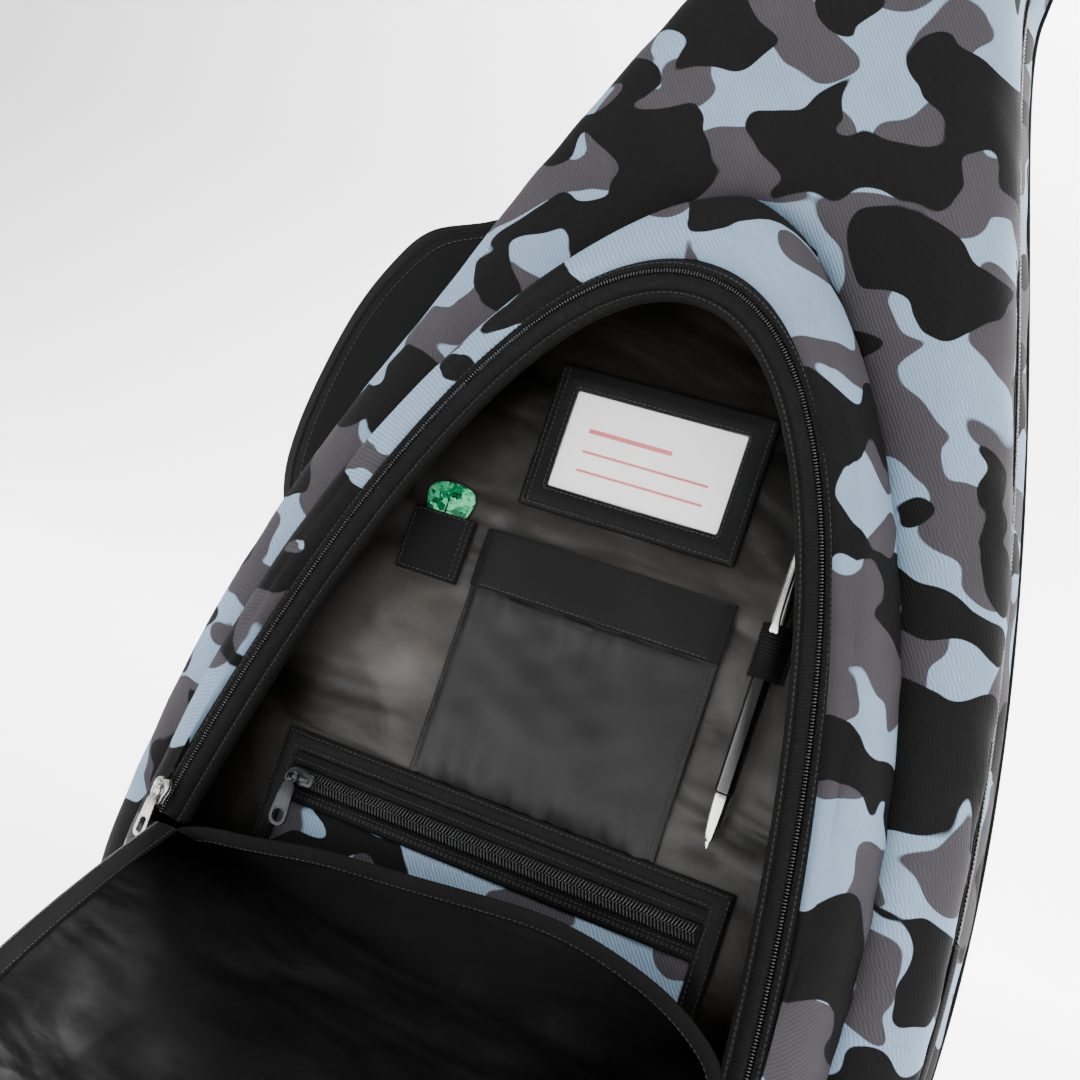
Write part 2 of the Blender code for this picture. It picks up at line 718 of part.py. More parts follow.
def smooth(points, steps=4):
    """A Catmull-Rom curve through the points."""
    padded = [points[0], *points, points[-1]]
    curve = [points[0]]
    for a, b, c, d in zip(padded, padded[1:], padded[2:], padded[3:]):
        for step in range(1, steps + 1):
            t = step / steps
            curve.append(
                tuple(
                    0.5
                    * (
                        2 * q
                        + (r - p) * t
                        + (2 * p - 5 * q + 4 * r - s) * t * t
                        + (3 * q - p - 3 * r + s) * t**3
                    )
                    for p, q, r, s in zip(a, b, c, d)
                )
            )
    return curve


def make_yoke():
    """The patch across the back that both shoulder straps are sewn into."""
    back = HALF_DEPTH + GAP
    ring = rectangle(-0.064, 0.064, 0.585, 0.640, 0.006)
    plate("strap_yoke", "black_webbing", ring, back, back + 0.003)


def make_left_strap():
    """The strap that has swung out flat beyond the bag's left edge."""
    outer = [(-0.052, 0.631), (-0.098, 0.588), (-0.148, 0.540), (-0.186, 0.515), (-0.220, 0.498)]
    outer += [(-0.237, 0.472), (-0.248, 0.440), (-0.2535, 0.400), (-0.2538, 0.362)]
    outer += [(-0.248, 0.334), (-0.232, 0.306), (-0.210, 0.271)]
    inner = [(-0.168, 0.290), (-0.186, 0.320), (-0.197, 0.350), (-0.200, 0.380), (-0.196, 0.415)]
    inner += [(-0.180, 0.447), (-0.150, 0.472), (-0.112, 0.500), (-0.066, 0.541), (-0.024, 0.592)]
    ring = smooth(outer, 2) + smooth(inner, 2)
    pad = plate("shoulder_strap_left", "black_fabric", ring, LEFT_PAD_Y, LEFT_PAD_Y + PAD_THICK)
    pad.modifiers.new("Weld", "WELD").merge_threshold = 0.00001
    add_bevel(pad, 0.003, 1)
    start = Vector((-0.1876, 0, 0.2778))
    end = Vector((-0.1270, 0, 0.1462))
    turn = Matrix.Rotation(math.atan2(start.x - end.x, start.z - end.z), 4, "Y")
    length = (end - start).length
    frame = Matrix.Translation(start) @ turn
    make_webbing("left", frame, Vector((0.0650, 0.0)), Vector((0.0562, -length)))


def make_right_strap():
    """The strap that hangs in a bow behind the bag."""
    pad_path = smooth(
        [(0.061, 0.000), (0.080, -0.035), (0.096, -0.090), (0.104, -0.160)]
        + [(0.100, -0.230), (0.0895, -0.290)],
        3,
    )
    splay = math.atan(0.089 / 0.47)
    frame = Matrix.Translation((0.036, 0, 0.592)) @ Matrix.Rotation(-splay, 4, "Y")
    pad = band("shoulder_strap_right", "black_fabric", pad_path, 0.056, PAD_THICK)
    pad.matrix_world = frame @ ACROSS_STRAP
    make_webbing("right", frame, Vector((0.0888, -0.2945)), Vector((0.0545, -0.4600)))


def make_webbing(side, frame, start, end):
    """Webbing between two (depth, height) points, with the slide adjuster on it."""
    webbing = band(f"strap_webbing_{side}", "black_webbing", [start, end], 0.025, 0.0016)
    webbing.matrix_world = frame @ ACROSS_STRAP
    along = (end - start).normalized()
    place = start + along * ADJUSTER_DROP
    spot = frame @ Vector((0, place.x, place.y))
    slide = pivot(f"strap_adjuster_{side}_pivot", spot)
    frame_size = Vector((0.017, 0.0045, 0.010))
    adjuster = block(f"strap_adjuster_{side}", "black_plastic", -frame_size, frame_size)
    slot_size = Vector((0.0130, 0.0014, 0.02))
    slot = block(f"adjuster_slot_cutter_{side}", "black_plastic", -slot_size, slot_size)
    cut(adjuster, slot)
    lean = Matrix.Rotation(math.atan2(along.x, -along.y), 4, "X")
    slot.matrix_world = Matrix.Translation(spot) @ frame.to_3x3().to_4x4() @ lean
    adjuster.matrix_world = slot.matrix_world
    attach(adjuster, slide)
    attach(slot, slide)


def make_strap_tabs():
    """The two triangular patches low on the back, where the webbing ends."""
    back = HALF_DEPTH + GAP
    for name, side in (("left", -1), ("right", 1)):
        low_x = side * 0.125
        tab = [(low_x - 0.018, 0.145), (low_x - 0.024, 0.098), (low_x + 0.024, 0.098)]
        tab += [(low_x + 0.018, 0.145)]
        plate(f"strap_tab_{name}", "black_webbing", tab, back, back + 0.0015)


def make_hang_loop():
    back = HALF_DEPTH
    path = [(back + 0.0015, 1.012), (back + 0.016, 1.010), (back + 0.020, 0.996)]
    path += [(back + 0.016, 0.982), (back + 0.0015, 0.980)]
    loop = band("hang_loop", "black_webbing", smooth(path, 2), 0.025, 0.0020)
    loop.matrix_world = Matrix(((0, 0, 1, 0), (1, 0, 0, 0), (0, 1, 0, 0), (0, 0, 0, 1)))


# ---------------------------------------------------------------- assembly


def hang_on(parent, before):
    """Attaches every top level part and cutter made since the snapshot to the parent."""
    for obj in [*PARTS.objects, *CUTTERS.objects]:
        if obj not in before and obj is not parent and obj.parent is None:
            attach(obj, parent)


def main():
    make_back_half()
    make_neck_support()
    make_yoke()
    make_left_strap()
    make_right_strap()
    make_strap_tabs()
    make_hang_loop()
    make_main_sliders()
    lid = pivot("lid_pivot", (LID_AXIS_X, 0, 0))
    before = set(PARTS.objects) | set(CUTTERS.objects)
    make_lid()
    make_pocket_wall()
    make_pocket_rim()
    make_organizer()
    make_door()
    make_pocket_slider(lid)
    hang_on(lid, before)


clear_scene()
PARTS = make_collection("gig_bag")
CUTTERS = make_collection("cutters")
CUTTERS.hide_render = True
main()
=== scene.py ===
"""Looks of a padded guitar gig bag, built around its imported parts.

Metres, +Z up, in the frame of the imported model: the bag stands on its bumper, its
front pocket faces -Y and its main zip runs round it in the plane Y = 0. Outlines are
(x, z) rings seen from the front, anticlockwise from the bottom middle.
"""

import math

import bmesh
import bpy
import numpy as np
from mathutils import Matrix, Vector, geometry, kdtree


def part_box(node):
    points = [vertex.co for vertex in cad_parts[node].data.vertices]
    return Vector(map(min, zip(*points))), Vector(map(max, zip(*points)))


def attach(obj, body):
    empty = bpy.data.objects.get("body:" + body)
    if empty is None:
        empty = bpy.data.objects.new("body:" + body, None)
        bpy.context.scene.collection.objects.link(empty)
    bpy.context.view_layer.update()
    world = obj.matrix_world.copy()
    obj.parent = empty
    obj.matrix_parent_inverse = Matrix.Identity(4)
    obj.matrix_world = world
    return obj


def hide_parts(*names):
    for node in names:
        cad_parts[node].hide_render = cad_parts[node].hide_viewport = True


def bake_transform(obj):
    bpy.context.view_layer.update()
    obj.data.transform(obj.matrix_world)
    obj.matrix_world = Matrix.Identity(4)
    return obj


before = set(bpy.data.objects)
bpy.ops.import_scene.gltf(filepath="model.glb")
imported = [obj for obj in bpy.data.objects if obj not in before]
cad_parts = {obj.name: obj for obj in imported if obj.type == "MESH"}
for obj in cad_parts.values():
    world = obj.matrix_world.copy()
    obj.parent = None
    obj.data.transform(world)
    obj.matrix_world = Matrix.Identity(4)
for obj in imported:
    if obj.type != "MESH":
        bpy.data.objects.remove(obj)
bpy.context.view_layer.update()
UP = np.array((0.0, 0.0, 1.0))
OUT = np.array((0.0, -1.0, 0.0))

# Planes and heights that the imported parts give
FACE_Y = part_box("front_shell")[0].y
BACK_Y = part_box("back_shell")[1].y
RIM_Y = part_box("pocket_wall")[0].y
LINING_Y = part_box("organizer_panel")[1].y
BOTTOM_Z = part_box("front_shell")[0].z
TOP_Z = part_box("front_shell")[1].z
HALF_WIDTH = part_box("front_shell")[1].x
CREASE_HALF_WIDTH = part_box("pocket_wall")[1].x
CREASE_BOTTOM_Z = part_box("pocket_wall")[0].z
CREASE_TOP_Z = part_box("pocket_wall")[1].z

# The same outlines as the parts have
BOTTOM_FLAT = 0.120
WIDEST_Z = 0.150
NECK_HALF_WIDTH = 0.070
NECK_START_Z = 0.690
NECK_END_Z = 0.970
HINGE_Z = 0.165
OPENING_TOP_Z = 0.487
OPENING_HALF_WIDTH = 0.150
DOOR_OPEN_ANGLE = math.radians(113)
DOOR_PIVOT = np.array((0.0, RIM_Y - 0.003, HINGE_Z - 0.001))
ORGANIZER_TILT = math.radians(-4)
ORGANIZER_CENTRE = np.array((0.0, 0.0, 0.357))
ORGANIZER_SHIFT = np.array((-0.002, 0.0, 0.0))
ITEM_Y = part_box("phone_pocket")[1].y

# Soft forms
EDGE_ROLL = 0.030
ZIP_GAP = 0.0048
CLOTH_STEP = 0.0035

# Pieces on the organizer, before it is tilted: x0, x1, z0, z1
ID_FRAME = (-0.053, 0.058, 0.371, 0.441)
ID_WINDOW = (-0.041, 0.046, 0.383, 0.430)
ID_CARD = (-0.0425, 0.0475, 0.3795, 0.4305)
PHONE_POCKET = (-0.062, 0.066, 0.234, 0.355)
PICK_POCKET = (-0.104, -0.070, 0.324, 0.356)
ZIP_POCKET = (-0.130, 0.106, 0.110, 0.2337)

# Where the organizer's lining is held flat: under the pockets, the pick, the pen and its loop
PICK_PATCH = (-0.104, -0.070, 0.324, 0.398)
PEN_LOOP_PATCH = (0.079, 0.097, 0.327, 0.352)
PEN_PATCH = (0.083, 0.093, 0.249, 0.352)
HELD_PATCHES = (ID_FRAME, PHONE_POCKET, PICK_PATCH, PEN_LOOP_PATCH, PEN_PATCH, ZIP_POCKET)

# Thicknesses of sewing thread
FINE_THREAD = 0.00045
HEAVY_THREAD = 0.0007


# ---------------------------------------------------------------- outlines, (x, z)


def bezier(start, handle_a, handle_b, end, steps):
    """Points of a cubic Bezier after its start."""
    t = np.linspace(0, 1, steps + 1)[1:, None]
    s = 1 - t
    a, b, c, d = (np.array(p, float) for p in (start, handle_a, handle_b, end))
    return a * s**3 + 3 * b * s * s * t + 3 * c * s * t * t + d * t**3


def quarter(centre, radii, first, steps):
    """Points of a quarter ellipse that turns left, after its start at the angle first."""
    angle = first + np.linspace(0, math.pi / 2, steps + 1)[1:]
    x = centre[0] + radii[0] * np.cos(angle)
    return np.column_stack((x, centre[1] + radii[1] * np.sin(angle)))


def line(start, end, steps):
    """Points of a straight run after its start."""
    t = np.linspace(0, 1, steps + 1)[1:, None]
    return np.array(start) * (1 - t) + np.array(end) * t


def mirrored(*runs):
    """The whole ring from the runs of its right half, bottom middle to top middle."""
    right = np.vstack(runs)
    return np.vstack((right, right[-2:0:-1] * (-1, 1)))


def body_ring():
    """The bag's outline, where its two halves meet."""
    neck = (NECK_HALF_WIDTH, NECK_START_Z)
    corner = (BOTTOM_FLAT, BOTTOM_Z)
    radii = (HALF_WIDTH - BOTTOM_FLAT, WIDEST_Z - BOTTOM_Z)
    flank = ((HALF_WIDTH, 0.385), (NECK_HALF_WIDTH, 0.635), neck)
    top_radii = (NECK_HALF_WIDTH, TOP_Z - NECK_END_Z)
    return mirrored(
        [(0.0, BOTTOM_Z)],
        line((0.0, BOTTOM_Z), corner, 20),
        quarter((BOTTOM_FLAT, WIDEST_Z), radii, -math.pi / 2, 40),
        bezier((HALF_WIDTH, WIDEST_Z), *flank, 100),
        line(neck, (NECK_HALF_WIDTH, NECK_END_Z), 40),
        quarter((0.0, NECK_END_Z), top_radii, 0.0, 30),
    )


def pocket_ring(start_z, corner_x, corner_radii, widest_x, flank, straight, turn, side):
    """A ring of the pocket: a flat bottom, a rounded corner and a flank up to the top."""
    corner = (corner_x, start_z)
    return mirrored(
        [(0.0, start_z)],
        line((0.0, start_z), corner, straight),
        quarter((corner_x, WIDEST_Z), corner_radii, -math.pi / 2, turn),
        bezier((widest_x, WIDEST_Z), *flank, side),
    )


# Points along the bottom, the corner and the flank of each of the pocket's rings
RING_COUNTS = (36, 60, 190)
CREASE_BOTTOM_FLAT = 0.110


def crease_ring():
    """Where the pocket's wall meets the front."""
    radii = (CREASE_HALF_WIDTH - CREASE_BOTTOM_FLAT, WIDEST_Z - CREASE_BOTTOM_Z)
    flank = ((CREASE_HALF_WIDTH, 0.381), (0.052, CREASE_TOP_Z), (0.0, CREASE_TOP_Z))
    sizes = (CREASE_BOTTOM_Z, CREASE_BOTTOM_FLAT, radii, CREASE_HALF_WIDTH, flank)
    return pocket_ring(*sizes, *RING_COUNTS)


def opening_side(margin, steps):
    """The right side of the pocket's opening, moved in by the margin."""
    corner = (OPENING_HALF_WIDTH - margin, HINGE_Z)
    top = OPENING_TOP_Z - margin
    handles = ((0.131 - margin, 0.305), (0.085 - margin / 2, top))
    return np.vstack(([corner], bezier(corner, *handles, (0.0, top), steps)))


def opening_ring():
    """The opening, with as many points in each stretch as the crease has."""
    straight, turn, side = RING_COUNTS
    middle = (0.070, HINGE_Z)
    flank = opening_side(0.0, side)
    return mirrored(
        [(0.0, HINGE_Z)],
        line((0.0, HINGE_Z), middle, straight),
        line(middle, flank[0], turn),
        flank[1:],
    )


def arch(margin=0.0):
    """The opening's edge from its left corner over the top to its right corner."""
    right = opening_side(margin, RING_COUNTS[2])
    return np.vstack((right * (-1, 1), right[-2::-1]))


def run_lengths(points):
    """How far along the line each of its points is."""
    return np.concatenate(([0], np.cumsum(np.linalg.norm(np.diff(points, axis=0), axis=1))))


def unit(vectors):
    """The vectors at length 1."""
    return vectors / np.linalg.norm(vectors, axis=-1, keepdims=True)


def resampled(points, step, closed=False):
    """The line's points moved to even distances close to the step."""
    if closed:
        points = np.vstack((points, points[:1]))
    run = run_lengths(points)
    count = max(2, round(run[-1] / step)) + 1
    at = np.linspace(0, run[-1], count)
    even = np.column_stack([np.interp(at, run, points[:, i]) for i in range(points.shape[1])])
    return even[:-1] if closed else even


def tangents(points, closed=False):
    """Unit directions along the line."""
    if closed:
        along = np.roll(points, -1, 0) - np.roll(points, 1, 0)
    else:
        along = np.gradient(points, axis=0)
    return along / np.maximum(np.linalg.norm(along, axis=1), 1e-12)[:, None]


def inward(ring, closed=True):
    """Unit normals to the left of the line, which is inside an anticlockwise ring."""
    along = tangents(ring, closed)
    return np.column_stack((-along[:, 1], along[:, 0]))


def moved_in(ring, distance, closed=True):
    """The line moved to its left by one distance, or by one for each point."""
    return ring + inward(ring, closed) * np.reshape(distance, (-1, 1))


def in_space(points, y):
    """(x, z) points lifted to the plane or planes y."""
    return np.column_stack((points[:, 0], np.broadcast_to(y, len(points)), points[:, 1]))


def smooth_line(points, step):
    """A Catmull-Rom curve through the points, evenly stepped."""
    points = np.array(points, float)
    padded = np.vstack((2 * points[0] - points[1], points, 2 * points[-1] - points[-2]))
    t = np.linspace(0, 1, 17)[:-1, None]
    curve = []
    for p, q, r, s in zip(padded, padded[1:], padded[2:], padded[3:]):
        bend = (2 * p - 5 * q + 4 * r - s) * t * t + (3 * q - p - 3 * r + s) * t**3
        curve.append(0.5 * (2 * q + (r - p) * t + bend))
    return resampled(np.vstack((*curve, points[-1:])), step)


# ---------------------------------------------------------------- meshes


def build(name, points, faces, cloth=None):
    """A mesh object that keeps its rest place and its cloth's own coordinates."""
    points = np.asarray(points, float)
    mesh = bpy.data.meshes.new(name)
    mesh.from_pydata(points.tolist(), [], [tuple(int(i) for i in f) for f in faces])
    mesh.polygons.foreach_set("use_smooth", [True] * len(mesh.polygons))
    obj = bpy.data.objects.new(name, mesh)
    bpy.context.scene.collection.objects.link(obj)
    keep(obj, "rest", points)
    keep(obj, "cloth", points[:, (0, 2, 1)] if cloth is None else cloth)
    return obj


def keep(obj, name, values):
    """Stores a vector for each of the mesh's points."""
    layer = obj.data.attributes.get(name) or obj.data.attributes.new(name, "FLOAT_VECTOR", "POINT")
    layer.data.foreach_set("vector", np.asarray(values, np.float32).ravel())


def places(obj):
    """Where the mesh's points are."""
    co = np.zeros(len(obj.data.vertices) * 3, np.float32)
    obj.data.vertices.foreach_get("co", co)
    return co.reshape(-1, 3).astype(float)


def place(obj, points):
    """Moves the mesh's points."""
    obj.data.vertices.foreach_set("co", np.asarray(points, np.float32).ravel())
    obj.data.update()


def normals(obj):
    """Unit normals of the mesh's points."""
    found = np.zeros(len(obj.data.vertices) * 3, np.float32)
    obj.data.vertex_normals.foreach_get("vector", found)
    return found.reshape(-1, 3).astype(float)


def face_outwards(obj, towards):
    """Turns the faces so that their mean normal points towards the vector."""
    mesh = obj.data
    mean = sum((p.normal * p.area for p in mesh.polygons), Vector())
    if mean.dot(Vector(towards)) < 0:
        mesh.flip_normals()


# A mean of several waves seldom reaches its bounds, so it is raised to about -1 to 1
RIPPLE_WAVES = 7
RIPPLE_GAIN = 1.6


def ripple(points, scale, seed):
    """Smooth uneven waves about as long as the scale, from -1 to 1."""
    dice = np.random.default_rng(seed)
    total = np.zeros(len(points))
    for _ in range(RIPPLE_WAVES):
        way = dice.normal(size=points.shape[1])
        way *= 2 * math.pi / (scale * dice.uniform(0.7, 1.6)) / np.linalg.norm(way)
        total += np.sin(points @ way + dice.uniform(0, 2 * math.pi))
    return total / RIPPLE_WAVES * RIPPLE_GAIN


def band_ripple(run, level, scale, seed):
    """Waves along a band: its points are at run, and all at one level or each at its own."""
    return ripple(np.column_stack((run, np.broadcast_to(level, run.shape))), scale, seed)


def grid_ripple(x, z, scale, seed):
    """Waves over a grid of points."""
    return ripple(np.column_stack((x.ravel(), z.ravel())), scale, seed).reshape(x.shape)


def grid_faces(rows, columns, wrap_rows=False, wrap_columns=False):
    """Quads between neighbouring rows of points."""
    r = np.arange(rows if wrap_rows else rows - 1)[:, None]
    c = np.arange(columns if wrap_columns else columns - 1)[None, :]
    r2, c2 = (r + 1) % rows, (c + 1) % columns
    corners = (r * columns + c, r * columns + c2, r2 * columns + c2, r2 * columns + c)
    return np.stack([np.broadcast_to(k, (len(r), c.shape[1])).ravel() for k in corners], 1)


def tube_faces(rows, columns, endless=False):
    """Quads round a tube, and its two end faces unless it runs back into itself."""
    faces = grid_faces(rows, columns, endless, True).tolist()
    if not endless:
        last = (rows - 1) * columns
        faces += [list(range(columns))[::-1], list(range(last, last + columns))]
    return faces


def cloth_grid(shape, along, across):
    """The cloth's own coordinates for a grid of points."""
    cloth = np.zeros(shape)
    cloth[..., 0] = along
    cloth[..., 1] = across
    return cloth.reshape(-1, 3)


def loft(name, rings, closed=True):
    """A skin through rings that have the same number of points."""
    rings = np.array(rings)
    rows, columns = rings.shape[:2]
    along = run_lengths(rings[rows // 2])
    across = run_lengths(rings[:, columns // 3])
    cloth = cloth_grid(rings.shape, along[None, :], across[:, None])
    faces = grid_faces(rows, columns, wrap_columns=closed)
    return build(name, rings.reshape(-1, 3), faces, cloth)


def sweep(name, path, side, up, profile, endless=False):
    """A closed profile of (side, up) points carried along the path."""
    path = np.asarray(path, float)
    side, up = np.broadcast_to(side, path.shape), np.broadcast_to(up, path.shape)
    profile = np.asarray(profile, float)
    points = (
        path[:, None]
        + side[:, None] * profile[None, :, :1]
        + up[:, None] * profile[None, :, 1:]
    )
    faces = tube_faces(*points.shape[:2], endless)
    cloth = cloth_grid(points.shape, run_lengths(path)[:, None], run_lengths(profile)[None, :])
    obj = build(name, points.reshape(-1, 3), faces, cloth)
    settle_normals(obj)
    return obj


def settle_normals(obj):
    """Points every face of a closed mesh outwards."""
    work = bmesh.new()
    work.from_mesh(obj.data)
    bmesh.ops.recalc_face_normals(work, faces=work.faces)
    work.to_mesh(obj.data)
    work.free()


def inside(points, ring):
    """Which points lie inside the ring."""
    x, z = points[:, 0], points[:, 1]
    found = np.zeros(len(points), bool)
    for (x0, z0), (x1, z1) in zip(ring, np.roll(ring, -1, 0)):
        if z0 != z1:
            crosses = (z0 > z) != (z1 > z)
            found ^= crosses & (x < (x1 - x0) * (z - z0) / (z1 - z0) + x0)
    return found


def between(points, rings):
    """Which points lie inside the first ring and outside the others."""
    fits = inside(points, rings[0])
    for hole in rings[1:]:
        fits &= ~inside(points, hole)
    return fits


def tree_of(points):
    """A search tree of (x, z) points."""
    tree = kdtree.KDTree(len(points))
    for number, (x, z) in enumerate(points):
        tree.insert((x, z, 0), number)
    tree.balance()
    return tree


# A grid of even triangles has its rows this share of a step apart
ROW_SHARE = 0.866
EDGE_CLEARANCE = 0.6


def filled(rings, step):
    """Even points and triangles inside the first ring and outside the others."""
    rings = [resampled(r, step, closed=True) for r in rings]
    count = 0
    edges = []
    for ring in rings:
        edges += [(count + i, count + (i + 1) % len(ring)) for i in range(len(ring))]
        count += len(ring)
    low, high = rings[0].min(0), rings[0].max(0)
    rows = np.arange(low[1], high[1], step * ROW_SHARE)
    grid = [
        (x, z)
        for i, z in enumerate(rows)
        for x in np.arange(low[0] + (i % 2) * step / 2, high[0], step)
    ]
    grid = np.array(grid)
    tree = tree_of(np.vstack(rings))
    clear = step * EDGE_CLEARANCE
    grid = np.array([p for p in grid[between(grid, rings)] if tree.find((*p, 0))[2] > clear])
    every = np.vstack((*rings, grid))
    made = geometry.delaunay_2d_cdt([Vector(p) for p in every], edges, [], 0, 1e-7)
    points = np.array([tuple(v) for v in made[0]])
    faces = np.array([tuple(f) for f in made[2] if len(f) == 3])
    return points, faces[between(points[faces].mean(1), rings)]


# How far the nearest place may lie from a point of the ring, along it
NEAREST_SLIDE = 0.001


def nearest(points, ring):
    """(place, tangent) of the nearest point of the ring to each point."""
    tree = tree_of(ring)
    found = np.array([tree.find((x, z, 0))[1] for x, z in points])
    t = tangents(ring, closed=True)[found]
    slide = ((points - ring[found]) * t).sum(1, keepdims=True)
    return ring[found] + t * np.clip(slide, -NEAREST_SLIDE, NEAREST_SLIDE), t


def distance_to(points, ring):
    """How far each point is from the ring."""
    at, _ = nearest(points, ring)
    return np.linalg.norm(points - at, axis=1)


def copies(name, template, origins, along, side, up):
    """The template's (points, faces) set down at each origin, turned to its axes."""
    points, faces = template
    points = np.asarray(points, float)
    axes = np.stack((along, side, up), 1)
    placed = np.einsum("pk,nkc->npc", points, axes) + origins[:, None]
    count = len(points)
    every = [
        tuple(i + n * count for i in face) for n in range(len(origins)) for face in faces
    ]
    local = np.tile(points, (len(origins), 1))
    return build(name, placed.reshape(-1, 3), every, local)


def bead(length, width, height, sides, rows):
    """A rounded bead along X: (points, faces)."""
    t = np.linspace(-1, 1, rows)
    radius = np.sqrt(np.maximum(1 - np.abs(t) ** 3, 0.06))
    angle = np.linspace(0, 2 * math.pi, sides, endpoint=False)
    points = np.zeros((rows, sides, 3))
    points[..., 0] = (t * length / 2)[:, None]
    points[..., 1] = radius[:, None] * np.cos(angle) * width / 2
    points[..., 2] = radius[:, None] * np.sin(angle) * height / 2
    return points.reshape(-1, 3), tube_faces(rows, sides)


def axes_between(even, up):
    """Middles and (along, side, up) axes of the pieces between evenly spaced points."""
    along = unit(even[1:] - even[:-1])
    side = unit(np.cross(up, along))
    return (even[:-1] + even[1:]) / 2, along, side, np.cross(along, side)


# Small enough that a direction carried with a point does not change its distances
CARRIED = 1e-6
STITCH_SHARE = 0.74


def stitches(name, lines, pitch, thread):
    """Rows of thread stitches. Each line is (path, up), with one up or one for each point."""
    sets = []
    for path, up in lines:
        if np.ndim(up) == 2:
            even = resampled(np.hstack((path, up * CARRIED)), pitch)
            sets.append(axes_between(even[:, :3], unit(even[:-1, 3:])))
        else:
            sets.append(axes_between(resampled(np.asarray(path, float), pitch), up))
    origins, along, side, up = (np.vstack(part) for part in zip(*sets))
    template = bead(pitch * STITCH_SHARE, thread, thread * 0.9, 6, 4)
    return copies(name, template, origins, along, side, up)


# ---------------------------------------------------------------- materials


# Most of a noise texture's values lie between these two
NOISE_RANGE = (0.3, 0.7)


class Look:
    """A material, with short calls for the nodes that these looks use."""

    def __init__(self, name, roughness, metallic=0.0, **constants):
        self.material = bpy.data.materials.new(name)
        self.material.use_nodes = True
        self.tree = self.material.node_tree
        self.shader = self.tree.nodes["Principled BSDF"]
        self.shader.inputs["Roughness"].default_value = roughness
        self.shader.inputs["Metallic"].default_value = metallic
        for socket, value in constants.items():
            self.shader.inputs[socket.replace("_", " ")].default_value = value

    def node(self, kind, inputs, **settings):
        made = self.tree.nodes.new(kind)
        for key, value in settings.items():
            setattr(made, key, value)
        for key, value in inputs.items():
            if isinstance(value, bpy.types.NodeSocket):
                self.tree.links.new(value, made.inputs[key])
            elif value is not None:
                made.inputs[key].default_value = value
        return made

    def attribute(self, name):
        return self.node("ShaderNodeAttribute", {}, attribute_name=name).outputs["Vector"]

    def math(self, operation, a, b=None, c=None):
        inputs = {i: v for i, v in enumerate((a, b, c)) if v is not None}
        return self.node("ShaderNodeMath", inputs, operation=operation).outputs[0]

    def vector(self, operation, a, b):
        return self.node("ShaderNodeVectorMath", {0: a, 1: b}, operation=operation).outputs[0]

    def split(self, vector):
        return self.node("ShaderNodeSeparateXYZ", {0: vector}).outputs

    def noise(self, vector, scale, detail, roughness=0.5, distortion=0.0):
        inputs = {"Vector": vector, "Scale": scale, "Detail": detail}
        inputs |= {"Roughness": roughness, "Distortion": distortion}
        return self.node("ShaderNodeTexNoise", inputs).outputs["Fac"]

    def ramp(self, value, low, high, to_low=0.0, to_high=1.0):
        """The value's range low to high, stretched to another and clamped."""
        inputs = {"Value": value, 1: low, 2: high, 3: to_low, 4: to_high}
        return self.node("ShaderNodeMapRange", inputs, clamp=True).outputs[0]

    def vary(self, noise, to_low, to_high):
        """A noise, stretched so that its usual range becomes another."""
        return self.ramp(noise, *NOISE_RANGE, to_low, to_high)

    def times(self, a, b):
        """The product of two numbers."""
        return self.math("MULTIPLY", a, b)

    def mix(self, factor, a, b):
        a, b = (v if isinstance(v, bpy.types.NodeSocket) else (*v, 1) for v in (a, b))
        made = self.node("ShaderNodeMix", {0: factor, 6: a, 7: b}, data_type="RGBA")
        return made.outputs[2]

    def tinted(self, factor, colour, gain):
        """From the colour to a brighter or darker one."""
        return self.mix(factor, colour, [min(1.0, c * gain) for c in colour])

    def scaled(self, colour, factor):
        """The colour times a number."""
        wide = self.node("ShaderNodeCombineXYZ", {0: factor, 1: factor, 2: factor}).outputs[0]
        return self.node(
            "ShaderNodeMix", {0: 1.0, 6: colour, 7: wide}, data_type="RGBA", blend_type="MULTIPLY"
        ).outputs[2]

    def waves(self, distance, pitch):
        """A smooth 0 to 1 wave every pitch metres."""
        turned = self.times(distance, 2 * math.pi / pitch)
        return self.math("MULTIPLY_ADD", self.math("SINE", turned), 0.5, 0.5)

    def bump(self, height, distance, normal=None):
        inputs = {"Height": height, "Distance": distance, "Strength": 1.0, "Normal": normal}
        return self.node("ShaderNodeBump", inputs).outputs[0]

    def set(self, **sockets):
        for name, value in sockets.items():
            target = self.shader.inputs[name.replace("_", " ")]
            if isinstance(value, bpy.types.NodeSocket):
                self.tree.links.new(value, target)
            else:
                target.default_value = value
        return self.material


TWILL_PITCH = 0.0016


def twill(look):
    """Diagonal lines of a twill weave, 0 to 1, a little uneven."""
    cloth = look.attribute("cloth")
    x, y, _ = look.split(cloth)
    uneven = look.times(look.noise(cloth, 160, 1.0), 0.0012)
    diagonal = look.math("ADD", look.math("MULTIPLY_ADD", y, 0.82, x), uneven)
    lines = look.waves(look.times(diagonal, 0.77), TWILL_PITCH)
    grain = look.noise(look.vector("MULTIPLY", cloth, (1.0, 2.2, 1.0)), 1500, 1.0)
    return look.math("MULTIPLY_ADD", grain, 0.55, look.times(lines, 0.45))


CAMO_BLUE = (0.212, 0.299, 0.396)
CAMO_MAUVE = (0.0530, 0.0490, 0.0555)
CAMO_BLACK = (0.0072, 0.0072, 0.0070)


